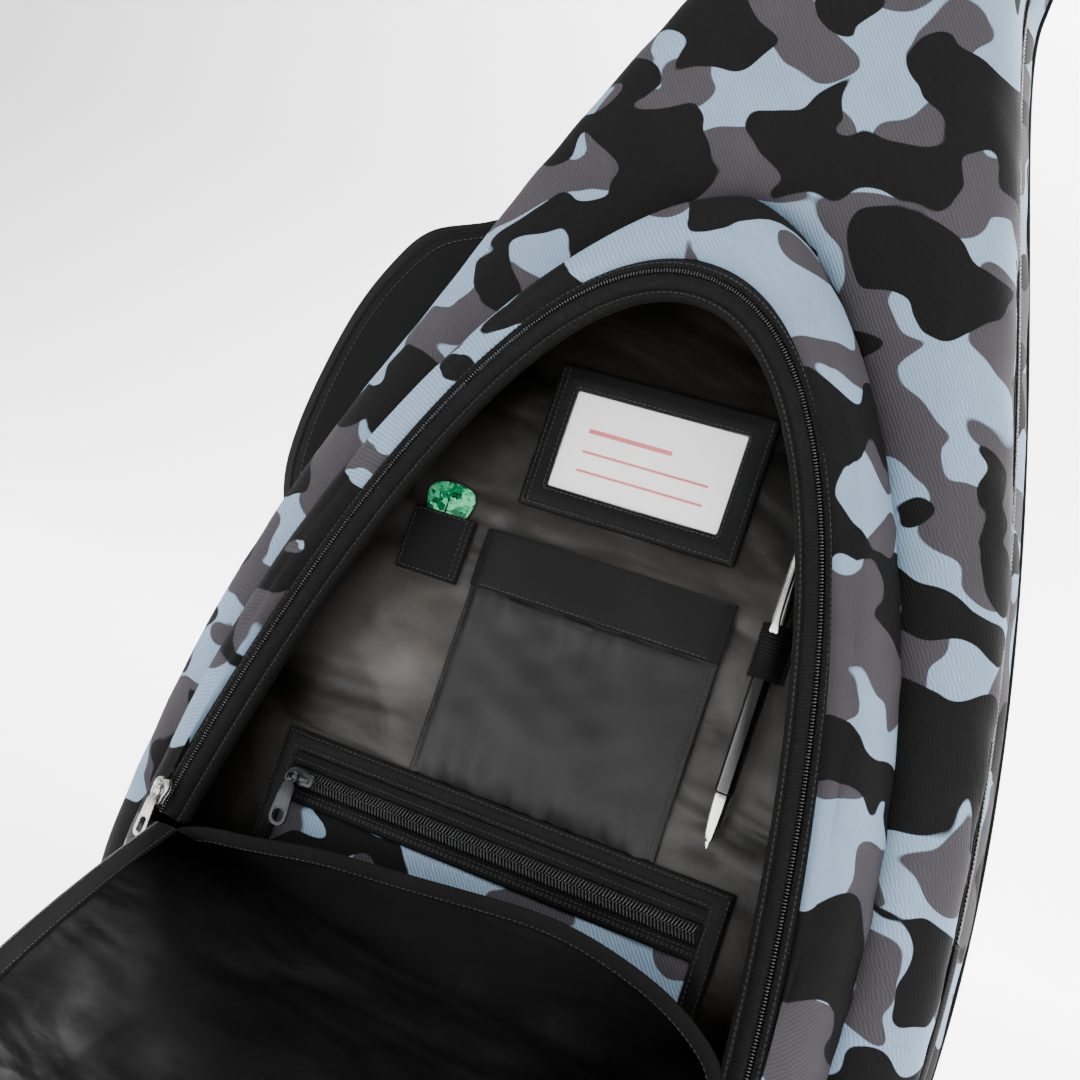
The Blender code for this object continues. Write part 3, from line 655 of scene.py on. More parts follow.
def camo(name, offset):
    """Printed twill in three colours, with its pattern moved by the offset on each panel."""
    look = Look(name, 0.82, Specular_IOR_Level=0.08)
    at = look.vector("ADD", look.attribute("rest"), offset)
    at = look.vector("MULTIPLY", at, (0.76, 0.76, 1.0))
    push = look.node("ShaderNodeTexNoise", {"Vector": at, "Scale": 24.0, "Detail": 1.0})
    push = look.vector("SUBTRACT", push.outputs["Color"], (0.5, 0.5, 0.5))
    at = look.vector("ADD", at, look.vector("MULTIPLY", push, (0.036, 0.036, 0.036)))
    blue = look.ramp(look.noise(at, 27.0, 0.7, 0.4), 0.500, 0.507)
    other = look.vector("ADD", at, (3.7, 1.9, 5.3))
    black = look.ramp(look.noise(other, 32.0, 0.6, 0.4), 0.540, 0.547)
    worn = look.noise(look.attribute("rest"), 28, 3.0, 0.6)
    colour = look.mix(blue, CAMO_MAUVE, CAMO_BLUE)
    colour = look.mix(black, colour, CAMO_BLACK)
    weave = twill(look)
    tone = look.ramp(weave, 0.25, 0.75, 0.80, 1.16)
    tone = look.times(tone, look.vary(worn, 0.94, 1.05))
    rough = look.ramp(weave, 0.2, 0.8, 0.74, 0.92)
    bump = look.bump(weave, 0.00022)
    return look.set(Base_Color=look.scaled(colour, tone), Roughness=rough, Normal=bump)


def plain_weave(name, colour, roughness, pitch=0.0009, depth=0.00012, gloss=0.10):
    """Over and under threads in two directions."""
    look = Look(name, roughness, Sheen_Weight=0.01, Specular_IOR_Level=gloss)
    cloth = look.attribute("cloth")
    x, y, _ = look.split(cloth)
    over = look.times(look.waves(x, pitch), look.waves(y, pitch * 0.9))
    grain = look.noise(cloth, 900, 2.0, 0.6)
    weave = look.math("MULTIPLY_ADD", grain, 0.6, look.times(over, 0.4))
    patch = look.noise(look.attribute("rest"), 22, 3.0, 0.55)
    light = look.ramp(weave, 0.2, 0.8, 0.75, 1.25)
    light = look.times(light, look.vary(patch, 0.88, 1.12))
    rough = look.vary(grain, roughness - 0.06, roughness + 0.06)
    base = look.scaled(look.tinted(patch, colour, 1.12), light)
    return look.set(Base_Color=base, Roughness=rough, Normal=look.bump(weave, depth))


def ribbed(name, colour, roughness, pitch=0.0014, along=True, depth=0.00025):
    """Webbing or grosgrain: ribs across its length, with a fine thread grain."""
    look = Look(name, roughness, Sheen_Weight=0.01, Specular_IOR_Level=0.10)
    cloth = look.attribute("cloth")
    x, y, _ = look.split(cloth)
    ribs = look.waves(x if along else y, pitch)
    grain = look.noise(look.vector("MULTIPLY", cloth, (2.0, 0.8, 1.0)), 1200, 2.0, 0.6)
    weave = look.math("MULTIPLY_ADD", ribs, 0.6, look.times(grain, 0.5))
    light = look.ramp(weave, 0.2, 0.9, 0.62, 1.35)
    patch = look.noise(look.attribute("rest"), 35, 3.0, 0.6)
    light = look.times(light, look.vary(patch, 0.86, 1.12))
    base = look.scaled(look.tinted(patch, colour, 1.15), light)
    rough = look.vary(grain, roughness - 0.08, roughness + 0.08)
    return look.set(Base_Color=base, Roughness=rough, Normal=look.bump(weave, depth))


# Painted light and shade: the satin is painted bright, with its full gloss, round this height and painted
# darker and less glossy towards the pocket's corners
PAINTED_LIGHT_CENTRE_Z = 0.280
FOLD_ANGLE = math.radians(-38)


def satin(name, colour, roughness, gloss):
    """Smooth lining with fine threads and soft folds, with painted sheen and shade streaked along the folds
    and painted shade, with less gloss, deep in the corners.
    """
    look = Look(name, roughness)
    cloth = look.attribute("cloth")
    rest = look.attribute("rest")
    threads = look.noise(look.vector("MULTIPLY", cloth, (6.0, 0.6, 1.0)), 380, 2.0, 0.6)
    crush = look.noise(rest, 34, 4.0, 0.55, 0.4)
    turned = {"Vector": rest, "Rotation": (0, FOLD_ANGLE, 0), "Scale": (8.0, 8.0, 21.0)}
    drape_and_painted_sheen = look.noise(look.node("ShaderNodeMapping", turned).outputs[0], 1.0, 2.0, 0.5, 0.9)
    away = look.vector("SUBTRACT", rest, (0.0, 0.0, PAINTED_LIGHT_CENTRE_Z))
    away = look.vector("MULTIPLY", away, (1.0, 0.0, 1.0))
    length = look.node("ShaderNodeVectorMath", {0: away}, operation="LENGTH").outputs["Value"]
    # Painted shade: colour and gloss fall to a tenth away from the bright middle height
    tone_field = look.ramp(length, 0.085, 0.158, 1.0, 0.10)
    light = look.vary(threads, 0.86, 1.14)
    # Painted sheen and shade: lighter and darker streaks along the folds
    light = look.times(light, look.ramp(drape_and_painted_sheen, 0.40, 0.58, 0.30, 1.42))
    light = look.times(light, tone_field)
    base = look.scaled(look.tinted(crush, colour, 0.86), light)
    fine = look.bump(threads, 0.00005)
    folds = look.bump(drape_and_painted_sheen, 0.0060, look.bump(crush, 0.0010, fine))
    rough = look.vary(crush, roughness - 0.05, roughness + 0.07)
    gloss_in_painted_shade = look.times(tone_field, gloss)
    return look.set(Base_Color=base, Roughness=rough, Normal=folds, Specular_IOR_Level=gloss_in_painted_shade)


def plush(name, colour):
    """Brushed pile that lies in patches."""
    look = Look(name, 0.95, Sheen_Weight=0.25, Sheen_Roughness=0.6, Specular_IOR_Level=0.2)
    rest = look.attribute("rest")
    pile = look.noise(rest, 700, 3.0, 0.7)
    tone_field = look.noise(rest, 18, 3.0, 0.6, 0.8)
    light = look.times(look.vary(pile, 0.6, 1.4), look.vary(tone_field, 0.8, 1.25))
    base = look.scaled(look.tinted(tone_field, colour, 1.2), light)
    bump = look.bump(pile, 0.0006, look.bump(tone_field, 0.0015))
    return look.set(Base_Color=base, Normal=bump)


def air_mesh(name, colour):
    """Spacer mesh: a honeycomb of small open holes."""
    look = Look(name, 0.85, Sheen_Weight=0.05, Sheen_Roughness=0.5, Specular_IOR_Level=0.2)
    rest = look.attribute("rest")
    flat = look.vector("MULTIPLY", rest, (1.0, 0.0, 1.0))
    cells = look.node("ShaderNodeTexVoronoi", {"Vector": flat, "Scale": 330.0, "Randomness": 0.35})
    hole = look.ramp(cells.outputs["Distance"], 0.10, 0.42)
    yarn = look.noise(rest, 1100, 2.0)
    light = look.ramp(hole, 0, 1, 0.25, 1.2)
    light = look.times(light, look.vary(yarn, 0.8, 1.2))
    base = look.scaled(look.tinted(yarn, colour, 1.3), light)
    return look.set(Base_Color=base, Normal=look.bump(hole, 0.0009))


def moulded(name, colour, roughness, depth, scale, **constants):
    """Plastic or rubber with a fine grain and faint rubbed patches."""
    look = Look(name, roughness, **constants)
    rest = look.attribute("rest")
    grain = look.noise(rest, scale, 2.0, 0.6)
    rubbed = look.noise(rest, 60, 4.0, 0.6)
    rough = look.vary(rubbed, roughness - 0.06, roughness + 0.10)
    base = look.tinted(rubbed, colour, 1.35)
    return look.set(Base_Color=base, Roughness=rough, Normal=look.bump(grain, depth))


def metal(name, colour, roughness):
    """Cast or plated metal, with fine scratches and darker spots."""
    look = Look(name, roughness, metallic=1.0)
    rest = look.attribute("rest")
    streaks = look.noise(look.vector("MULTIPLY", rest, (1.0, 1.0, 9.0)), 420, 3.0, 0.7)
    spots = look.noise(rest, 240, 3.0, 0.6)
    rough = look.vary(streaks, roughness - 0.06, roughness + 0.12)
    base = look.tinted(spots, colour, 0.80)
    return look.set(Base_Color=base, Roughness=rough, Normal=look.bump(streaks, 0.00003))


def pearl(name):
    """Green celluloid: bright pearly flakes that lie at different angles."""
    look = Look(name, 0.12, Coat_Weight=0.6, Coat_Roughness=0.05)
    rest = look.attribute("rest")
    push = look.node("ShaderNodeTexNoise", {"Vector": rest, "Scale": 240.0, "Detail": 2.0})
    at = look.vector("ADD", rest, look.vector("MULTIPLY", push.outputs["Color"], (0.006,) * 3))
    flakes = look.node("ShaderNodeTexVoronoi", {"Vector": at, "Scale": 330.0})
    shade = look.split(flakes.outputs["Color"])[0]
    streak = look.noise(look.vector("MULTIPLY", at, (1.0, 1.0, 2.6)), 420, 2.0, 0.6, 1.5)
    mixed = look.math("MULTIPLY_ADD", streak, 0.7, look.times(shade, 0.45))
    low = look.mix(look.ramp(mixed, 0.28, 0.55), (0.001, 0.030, 0.012), (0.004, 0.200, 0.070))
    colour = look.mix(look.ramp(mixed, 0.55, 0.78), low, (0.110, 0.620, 0.300))
    return look.set(Base_Color=colour, Normal=look.bump(shade, 0.00005))


# Ruled lines: height and right end as shares of the card, half of the thickness
RULED_LINES = ((0.66, 0.62, 0.0011), (0.46, 0.86, 0.0006), (0.28, 0.86, 0.0006))
RULED_LEFT = 0.14


def ruled_card(name, area):
    """White card with plain red ruled lines to write on."""
    x0, x1, z0, z1 = area
    look = Look(name, 0.42, Coat_Weight=0.25, Coat_Roughness=0.08)
    cloth = look.attribute("cloth")
    x, z, _ = look.split(cloth)
    paper = look.noise(cloth, 300, 3.0, 0.6)
    colour = look.mix(paper, (0.925, 0.925, 0.895), (0.885, 0.885, 0.860))
    for height, right, thick in RULED_LINES:
        level = z0 + (z1 - z0) * height
        from_left = look.math("GREATER_THAN", x, x0 + (x1 - x0) * RULED_LEFT)
        to_right = look.math("LESS_THAN", x, x0 + (x1 - x0) * right)
        off = look.math("ABSOLUTE", look.math("SUBTRACT", z, level))
        on = look.math("LESS_THAN", off, thick)
        line_on = look.times(on, look.times(from_left, to_right))
        colour = look.mix(line_on, colour, (0.600, 0.030, 0.055))
    return look.set(Base_Color=colour, Normal=look.bump(paper, 0.00002))


def vinyl(name):
    """Clear flexible window with faint waves."""
    look = Look(name, 0.06, Transmission_Weight=0.0, Alpha=0.14, IOR=1.5)
    rest = look.attribute("rest")
    wave = look.noise(rest, 45, 2.0, 0.5)
    tint = look.mix(wave, (0.90, 0.92, 0.93), (0.80, 0.83, 0.85))
    return look.set(Base_Color=tint, Normal=look.bump(wave, 0.0008))


LOOKS = {
    "camo_front": camo("camo_front_print", (0.0, 0.0, 0.0)),
    "camo_side": camo("camo_side_print", (0.31, 0.52, 0.17)),
    "camo_pocket": camo("camo_pocket_print", (0.83, 0.11, 0.62)),
    "camo_door": camo("camo_door_print", (0.45, 0.77, 0.29)),
    "camo_inner": camo("camo_inner_print", (0.64, 0.35, 0.90)),
    "black_fabric": plain_weave("black_polyester", (0.0056, 0.0056, 0.0060), 0.72),
    "black_nylon": plain_weave("black_nylon", (0.0085, 0.0085, 0.0090), 0.44, 0.0006, 0.00006, 0.30),
    "handle_cloth": plain_weave("handle_cloth", (0.0026, 0.0026, 0.0028), 0.66, 0.0007, 0.00008),
    "webbing": ribbed("black_webbing_cloth", (0.0052, 0.0052, 0.0055), 0.58),
    "frame_cloth": plain_weave("frame_cloth", (0.0050, 0.0051, 0.0050), 0.50, 0.0008, 0.00010),
    "webbing_flat": ribbed("strap_webbing_cloth", (0.0052, 0.0052, 0.0055), 0.60, 0.0016, False),
    "hem_cloth": plain_weave("hem_cloth", (0.0068, 0.0068, 0.0070), 0.52, 0.0007, 0.00006),
    "elastic": ribbed("elastic_cloth", (0.0036, 0.0037, 0.0036), 0.62, 0.0016, False, 0.00040),
    "zip_tape_flat": ribbed("zip_tape_twill", (0.0046, 0.0047, 0.0044), 0.66, 0.0010, True, 0.00012),
    "zip_tape": ribbed("zip_tape_cloth", (0.0042, 0.0043, 0.0041), 0.66, 0.0016),
    "binding": ribbed("binding_cloth", (0.0036, 0.0037, 0.0034), 0.70, 0.0013, True, 0.00012),
    "piping": ribbed("piping_cloth", (0.0036, 0.0036, 0.0037), 0.70, 0.0011, True, 0.00010),
    "thread": moulded("sewing_thread", (0.0050, 0.0050, 0.0052), 0.50, 0.00004, 1400, Sheen_Weight=0.2),
    "satin": satin("satin_lining_painted_light_cloth", (0.0480, 0.0420, 0.0370), 0.36, 0.40),
    # Black satin for the door's lining, its colour painted far darker than the pocket's satin as painted
    # shade where the door and its fold hang
    "door_satin_painted_shade": satin("door_lining_painted_shade_cloth", (0.0012, 0.0011, 0.0010), 0.48, 0.12),
    "plush": plush("plush_lining_pile", (0.014, 0.014, 0.016)),
    "air_mesh": air_mesh("spacer_mesh", (0.0080, 0.0080, 0.0086)),
    "rubber": moulded("black_rubber_grain", (0.0065, 0.0065, 0.0065), 0.62, 0.00010, 700),
    "plastic": moulded("black_moulded_plastic", (0.0070, 0.0070, 0.0073), 0.38, 0.00006, 900),
    "zip_coil": moulded("black_zip_coil", (0.0050, 0.0050, 0.0050), 0.30, 0.00002, 1500),
    "zip_coil_bright": moulded("glossy_zip_coil", (0.0120, 0.0120, 0.0120), 0.18, 0.00002, 1500),
    "nickel": metal("nickel_plate", (0.48, 0.47, 0.44), 0.22),
    "gunmetal": metal("gunmetal_plate", (0.058, 0.058, 0.062), 0.32),
    "chrome": metal("pen_chrome_plate", (0.80, 0.79, 0.77), 0.13),
    "pen_black": moulded("pen_black_lacquer", (0.0022, 0.0022, 0.0022), 0.09, 0.00001, 500, Coat_Weight=0.5),
    "pearl": pearl("green_pearl_celluloid"),
    "vinyl": vinyl("clear_vinyl_sheet"),
    "ruled_card": ruled_card("ruled_card_print", ID_CARD),
}


# ---------------------------------------------------------------- putting pieces in place


def dress(obj, look, body, slot, *replaced):
    """Gives the piece its material, the body that carries it and the nodes it stands for."""
    obj.data.materials.clear()
    obj.data.materials.append(LOOKS[look])
    if body:
        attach(obj, body)
    if replaced:
        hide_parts(*replaced)
    return obj


def sew(name, lines, pitch, thread=FINE_THREAD, body="lid", turn=None):
    """Rows of stitches, each (path, up), dressed as thread on their body."""
    rows = stitches(name, lines, pitch, thread)
    if turn:
        turn(rows)
    return dress(rows, "thread", body, "black_fabric")


def cut_cloth(name, flat, faces, points, towards):
    """A piece of cloth in space, which keeps the coordinates of its flat cutting."""
    obj = build(name, points, faces, in_space(flat, 0.0)[:, (0, 2, 1)])
    face_outwards(obj, towards)
    return obj


def solid(obj, thickness):
    """Gives cloth its thickness, behind its face."""
    made = obj.modifiers.new("Thickness", "SOLIDIFY")
    made.thickness = thickness
    made.offset = -1.0
    return obj


def rolled_over(flat, reference, roll, face_y, back):
    """Flat cloth bent over an edge: its part outside the reference ring turns a quarter
    round the roll and then runs straight, towards +Y if back is 1 and -Y if it is -1."""
    at, along = nearest(flat, reference)
    outward = np.column_stack((along[:, 1], -along[:, 0]))
    reach = ((flat - at) * outward).sum(1)
    beyond = np.clip(reach, 0, None)
    angle = np.minimum(beyond / roll, math.pi / 2)
    straight = np.clip(beyond - roll * math.pi / 2, 0, None)
    out = at + outward * (roll * np.sin(angle))[:, None]
    xz = np.where(reach[:, None] > 0, out, flat)
    return in_space(xz, face_y + back * (roll * (1 - np.cos(angle)) + straight))


def swell(obj, amount):
    """Moves each point along its normal."""
    place(obj, places(obj) + normals(obj) * np.asarray(amount)[:, None])


# ---------------------------------------------------------------- the bag's two halves


def make_front_cover():
    """The printed front, which rolls over the bag's edge down to the main zip."""
    reference = moved_in(body_ring(), EDGE_ROLL)
    straight = abs(FACE_Y) - EDGE_ROLL - ZIP_GAP
    hem = moved_in(reference, -(EDGE_ROLL * math.pi / 2 + straight))
    hole = moved_in(crease_ring(), 0.004)
    flat, faces = filled([hem, hole], CLOTH_STEP)
    rolled = rolled_over(flat, reference, EDGE_ROLL, FACE_Y, 1)
    obj = cut_cloth("front_cover", flat, faces, rolled, (0, -1, 0))
    from_zip = distance_to(flat, hem)
    from_crease = distance_to(flat, hole)
    puff = 0.0032 * (1 - np.exp(-from_zip / 0.007)) - 0.0022
    puff += -0.0060 * np.exp(-from_crease / 0.006)
    waves = ripple(flat, 0.20, 3) * 0.0016 + ripple(flat, 0.075, 4) * 0.0007
    tight = np.exp(-from_zip / 0.030)
    puckers = ripple(flat, 0.030, 5) * 0.0011 * tight
    swell(obj, puff + waves + puckers)
    dress(obj, "camo_front", "lid", "camo_fabric", "front_shell")


BACK_ROLL = 0.0125


def make_back_cover():
    """The black back, and the printed band between it and the main zip."""
    reference = moved_in(body_ring(), BACK_ROLL + 0.002)
    hem = moved_in(reference, -BACK_ROLL * math.pi / 2)
    flat, faces = filled([hem], 0.0045)
    rolled = rolled_over(flat, reference, BACK_ROLL, BACK_Y, -1)
    obj = cut_cloth("back_cover", flat, faces, rolled, (0, 1, 0))
    from_seam = distance_to(flat, hem)
    puff = 0.0016 * (1 - np.exp(-from_seam / 0.012)) - 0.0006
    swell(obj, puff + ripple(flat, 0.16, 13) * 0.0010 + ripple(flat, 0.06, 14) * 0.0004)
    dress(obj, "black_fabric", "back", "black_fabric", "back_shell")
    make_gusset()


def make_gusset():
    """The printed band from the main zip to the back's piped seam."""
    ring = resampled(body_ring(), 0.0030, closed=True)
    seam_y = BACK_Y - BACK_ROLL
    t = np.linspace(0, 1, 13)
    levels = ZIP_GAP + (seam_y - ZIP_GAP) * t
    bulge = 0.0026 * np.sin(math.pi * t) ** 0.6 - 0.0022
    run = run_lengths(ring)
    rings = []
    for y, out in zip(levels, bulge):
        wave = band_ripple(run, y * 2, 0.06, 17) * 0.0007
        free = math.sin(math.pi * (y - ZIP_GAP) / (seam_y - ZIP_GAP))
        rings.append(in_space(moved_in(ring, -(out + wave * free)), y))
    band = loft("back_gusset", rings)
    settle_open(band, ring.mean(0))
    dress(band, "camo_side", "back", "camo_fabric")
    seam_line = in_space(moved_in(ring, 0.0012), seam_y + 0.0004)
    dress(round_cord("back_piping", seam_line, 0.0016), "piping", "back", "black_fabric")


def settle_open(obj, centre):
    """Points an open band's faces away from its middle line."""
    mesh = obj.data
    total = sum(
        (p.normal.x * (p.center.x - centre[0]) + p.normal.z * (p.center.z - centre[1])) * p.area
        for p in mesh.polygons
    )
    if total < 0:
        mesh.flip_normals()


def round_cord(name, path, radius, sides=8):
    """A round bead along a closed path that lies about in a plane of even Y."""
    along = tangents(path, closed=True)
    side = unit(np.cross(along, OUT))
    angle = np.linspace(0, 2 * math.pi, sides, endpoint=False)
    profile = np.column_stack((np.cos(angle), np.sin(angle))) * radius
    return sweep(name, path, side, np.cross(along, side), profile, endless=True)


# Between these heights the right side has a fabric joint instead of the main zip
JOINT_LOW_Z = 0.070
JOINT_HIGH_Z = 0.255
JOINT_OVERLAP_LOW = 0.002
JOINT_OVERLAP_HIGH = 0.003


def zip_outline():
    """(the bag's outline, which of its points are on the right side)."""
    ring = resampled(body_ring(), 0.003, closed=True)
    return ring, (ring[:, 0] > 0) & (np.arange(len(ring)) < len(ring) // 2)


def zip_path():
    """The outline where the main zip runs, from above the fabric joint round to below it."""
    ring, right = zip_outline()
    start = np.argmax(right & (ring[:, 1] > JOINT_HIGH_Z))
    stop = np.argmax(right & (ring[:, 1] > JOINT_LOW_Z))
    return np.vstack((ring[start:], ring[:stop]))


def hinge_path():
    """The outline where the fabric joint runs, a little past the zip's ends."""
    ring, right = zip_outline()
    low, high = JOINT_LOW_Z - JOINT_OVERLAP_LOW, JOINT_HIGH_Z + JOINT_OVERLAP_HIGH
    return ring[right & (ring[:, 1] > low) & (ring[:, 1] < high)]


MAIN_COIL_PITCH = 0.0021


def make_main_zip():
    """Each half's tape with its coil, which meets the other's at Y = 0."""
    path = zip_path()
    outward = in_space(-inward(path, closed=False), 0.0)
    for side, body, half in ((1, "back", "back"), (-1, "lid", "front")):
        middle = in_space(moved_in(path, 0.0022, closed=False), side * 0.0036)
        profile = [(-0.0024, -0.0005), (0.0024, -0.0005), (0.0026, 0.0006), (-0.0030, 0.0004)]
        tape = sweep(f"main_zip_tape_{half}_cloth", middle, (0, side, 0), outward, profile)
        dress(tape, "zip_tape", body, "black_webbing", f"main_zip_tape_{half}")
        line_at = in_space(moved_in(path, 0.0012, closed=False), side * 0.0008)
        even = resampled(line_at, MAIN_COIL_PITCH)
        shift = even[:-1] + (even[1:] - even[:-1]) * (0.25 if side > 0 else 0.75)
        way = tangents(shift)
        out = np.cross(way, (0.0, 1.0, 0.0))
        out *= np.sign((out * (shift - (0, 0, 0.4))).sum(1))[:, None]
        across = np.cross(out, way)
        turn = bead(0.0014, 0.0034, 0.0018, 7, 4)
        coil = copies(f"main_zip_coil_{half}", turn, shift, way, across, out)
        dress(coil, "zip_coil", body, "zip_coil")


def make_lid_hinge():
    """The strip of fabric that joins the two halves on the right side."""
    path = hinge_path()
    y = np.linspace(ZIP_GAP + 0.0006, -ZIP_GAP - 0.0006, 13)
    out = 0.0016 * np.cos(y / y[0] * math.pi / 2) - 0.0008
    rings = [in_space(moved_in(path, -o, closed=False), v) for o, v in zip(out, y)]
    obj = loft("lid_hinge_fabric", rings, closed=False)
    settle_open(obj, (0.0, path[:, 1].mean()))
    solid(obj, 0.0010)
    dress(obj, "zip_tape", None, "black_fabric", "lid_hinge_gusset")
    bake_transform(obj)


def make_half_lining(name, side, body, foam):
    """The plush inside of one half: its face, its wall and the bound edge at the zip."""
    inset, roll = 0.0145, 0.016
    face_y = side * (abs(FACE_Y) - inset)
    reference = moved_in(body_ring(), inset + roll)
    wall = abs(face_y) - roll - 0.004
    hem = moved_in(reference, -(roll * math.pi / 2 + wall))
    flat, faces = filled([hem], 0.0060)
    obj = build(name, rolled_over(flat, reference, roll, face_y, -side), faces)
    face_outwards(obj, (0, -side, 0))
    swell(obj, ripple(flat, 0.10, 23 + side) * 0.0010 + ripple(flat, 0.035, 26 + side) * 0.0003)
    dress(obj, "plush", body, "plush_lining", foam)
    ring = resampled(body_ring(), 0.0035, closed=True)
    path = in_space(moved_in(ring, 0.0082), side * 0.0006)
    outward = in_space(-inward(ring), 0.0)
    profile = [(0.0068, 0.0), (0.0062, 0.0010), (0.0045, 0.0030), (0.0, 0.0036)]
    profile += [(-0.0045, 0.0036), (-0.0062, 0.0042), (-0.0068, 0.0056)]
    profile += [(-0.0040, 0.0052), (0.0050, 0.0050)]
    profile = [(a, b - 0.0002) for a, b in profile]
    rim = sweep(f"{name}_edge", path, outward, (0, side, 0), profile, endless=True)
    dress(rim, "binding", body, "plush_lining")


def level_ring(ring, z):
    """An (x, y) ring at the height z."""
    return np.column_stack((ring, np.full(len(ring), z)))


def make_bumper():
    """The rubber foot that the bag stands on."""
    low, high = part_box("bottom_bumper")
    corners = [np.vstack(corner) for corner in round_corners(low.x, high.x, low.y, high.y, 0.012, 10)]
    ring = resampled(np.vstack(corners), 0.004, closed=True)
    levels = ((0.0035, 0.0), (0.0012, 0.0004), (0.0, 0.0014), (0.0006, 0.0030), (0.0, 0.0044))
    levels += ((0.0010, high.z - 0.0003), (0.0030, high.z))
    obj = stack("bumper", ring, levels, level_ring)
    dress(obj, "rubber", "back", "black_rubber", "bottom_bumper")
    edge = level_ring(moved_in(ring, 0.0006), high.z - 0.0006)
    sew("bumper_stitches", [(edge, UP)], 0.005, HEAVY_THREAD, "back")


def round_corners(x0, x1, z0, z1, radius, steps):
    """(first point, the points after it) of each round corner of a rectangle."""
    centres = ((x1 - radius, z0 + radius), (x1 - radius, z1 - radius))
    centres += ((x0 + radius, z1 - radius), (x0 + radius, z0 + radius))
    for number, centre in enumerate(centres):
        first = math.pi / 2 * (number - 1)
        start = (centre[0] + radius * math.cos(first), centre[1] + radius * math.sin(first))
        yield [start], quarter(centre, (radius, radius), first, steps)


def stack(name, ring, levels, to_space=in_space):
    """A closed solid of one outline: each of its levels is (inset, level)."""
    rings = [to_space(moved_in(ring, inset), level) for inset, level in levels]
    cloth = np.column_stack((np.tile(ring, (len(rings), 1)), np.zeros(len(ring) * len(rings))))
    return closed_solid(name, np.array(rings), cloth)


def closed_solid(name, rings, cloth=None, sharp=40):
    """A solid through rings with the same number of points, with flat ends."""
    obj = build(name, rings.reshape(-1, 3), tube_faces(*rings.shape[:2]), cloth)
    settle_normals(obj)
    return sharpen(obj, sharp)


def sharpen(obj, angle):
    """Smooth shading that keeps edges sharper than the angle."""
    obj.data.set_sharp_from_angle(angle=math.radians(angle))
    return obj


# ---------------------------------------------------------------- the front pocket


def make_pocket_wall():
    """The padded band between the crease and the pocket's zip, with its lining inside."""
    crease, opening = crease_ring(), opening_ring()
    gap = opening - crease
    reach = np.linalg.norm(gap, axis=1)
    way = gap / reach[:, None]
    run = run_lengths(crease)
    rise = abs(RIM_Y - FACE_Y)
    roll = 0.019
    lip = 0.0098
    rings = []
    for angle in np.radians((-14, -4, 8, 20, 32, 44, 56, 67, 78, 90)):
        inset = roll * (1 - math.cos(angle)) - 0.0012 * math.cos(angle)
        height = (rise + 0.0008) * max(math.sin(angle), -0.12)
        pucker = band_ripple(run, 0.0, 0.022, 31) * 0.0006 * math.cos(angle) ** 4
        swing = band_ripple(run, height * 2, 0.09, 32) * 0.0009
        level = FACE_Y - height - swing * max(math.sin(angle), 0)
        rings.append(in_space(crease + way * (inset + pucker)[:, None], level))
    for t in np.linspace(0, 1, 22)[1:]:
        inset = roll + (reach - lip - roll) * t
        crown = 0.0024 * math.sin(math.pi * min(1.0, t * 1.04)) * np.clip(reach / 0.035, 0.5, 1.3)
        wave = band_ripple(run, inset, 0.08, 33) * 0.0008 * math.sin(math.pi * t)
        dip = -0.0012 * t**6
        level = RIM_Y - 0.0008 * (1 - t) - crown - wave - dip
        rings.append(in_space(crease + way * inset[:, None], level))
    obj = loft("pocket_band", rings)
    face_outwards(obj, (0, -1, 0))
    dress(obj, "camo_pocket", "lid", "camo_fabric", "pocket_wall")
    make_wall_lining(way, reach, crease, run)


def make_wall_lining(way, reach, crease, run):
    """The satin inside of the band, from the zip down to the organizer."""
    start, end = 0.0050, reach + 0.0010
    rings = []
    depth = abs(RIM_Y - LINING_Y)
    for t in np.linspace(0, 1, 16):
        inset = start + (end - start) * t**1.5
        wave = band_ripple(run, t * 0.05, 0.055, 41) * 0.0022
        wave += band_ripple(run, t * 0.03, 0.020, 42) * 0.0006
        soft = math.sin(math.pi * t) ** 0.8
        y = RIM_Y + 0.0030 + (depth - 0.0030) * (1 - t**1.9)
        rings.append(in_space(crease + way * (inset + wave * soft)[:, None], y + wave * soft * 0.4))
    obj = loft("pocket_band_lining", rings)
    face_outwards(obj, (0, -1, 0))
    dress(obj, "satin", "lid", "satin_lining")


def make_organizer_lining():
    """The satin panel that the small pockets are sewn to."""
    edge = moved_in(crease_ring(), 0.0040)
    flat, faces = filled([edge], CLOTH_STEP)
    panel_y = LINING_Y - 0.0006
    obj = build("organizer_lining", in_space(flat, panel_y), faces)
    face_outwards(obj, (0, -1, 0))
    free = clear_of_pockets(flat)
    folds = np.abs(ripple(flat * (1.0, 0.55), 0.060, 51)) * 0.0026 + ripple(flat, 0.022, 52) * 0.0004
    swell(obj, folds * free)
    dress(obj, "satin", "lid", "satin_lining", "organizer_panel")


# Over this distance from a held patch the lining's folds grow to their full height
HELD_FADE = 0.014


def clear_of_pockets(flat):
    """0 under the held patches, 1 well away from them."""
    c, s = math.cos(-ORGANIZER_TILT), math.sin(-ORGANIZER_TILT)
    turn = np.array(((c, s), (-s, c)))
    centre = ORGANIZER_CENTRE[[0, 2]]
    local = (flat - centre - ORGANIZER_SHIFT[[0, 2]]) @ turn.T + centre
    away = np.full(len(flat), 1.0)
    for x0, x1, z0, z1 in HELD_PATCHES:
        dx = np.maximum(np.maximum(x0 - local[:, 0], local[:, 0] - x1), 0)
        dz = np.maximum(np.maximum(z0 - local[:, 1], local[:, 1] - z1), 0)
        away = np.minimum(away, np.clip(np.hypot(dx, dz) / HELD_FADE, 0, 1))
    return away


RIM_STITCH = 0.0028


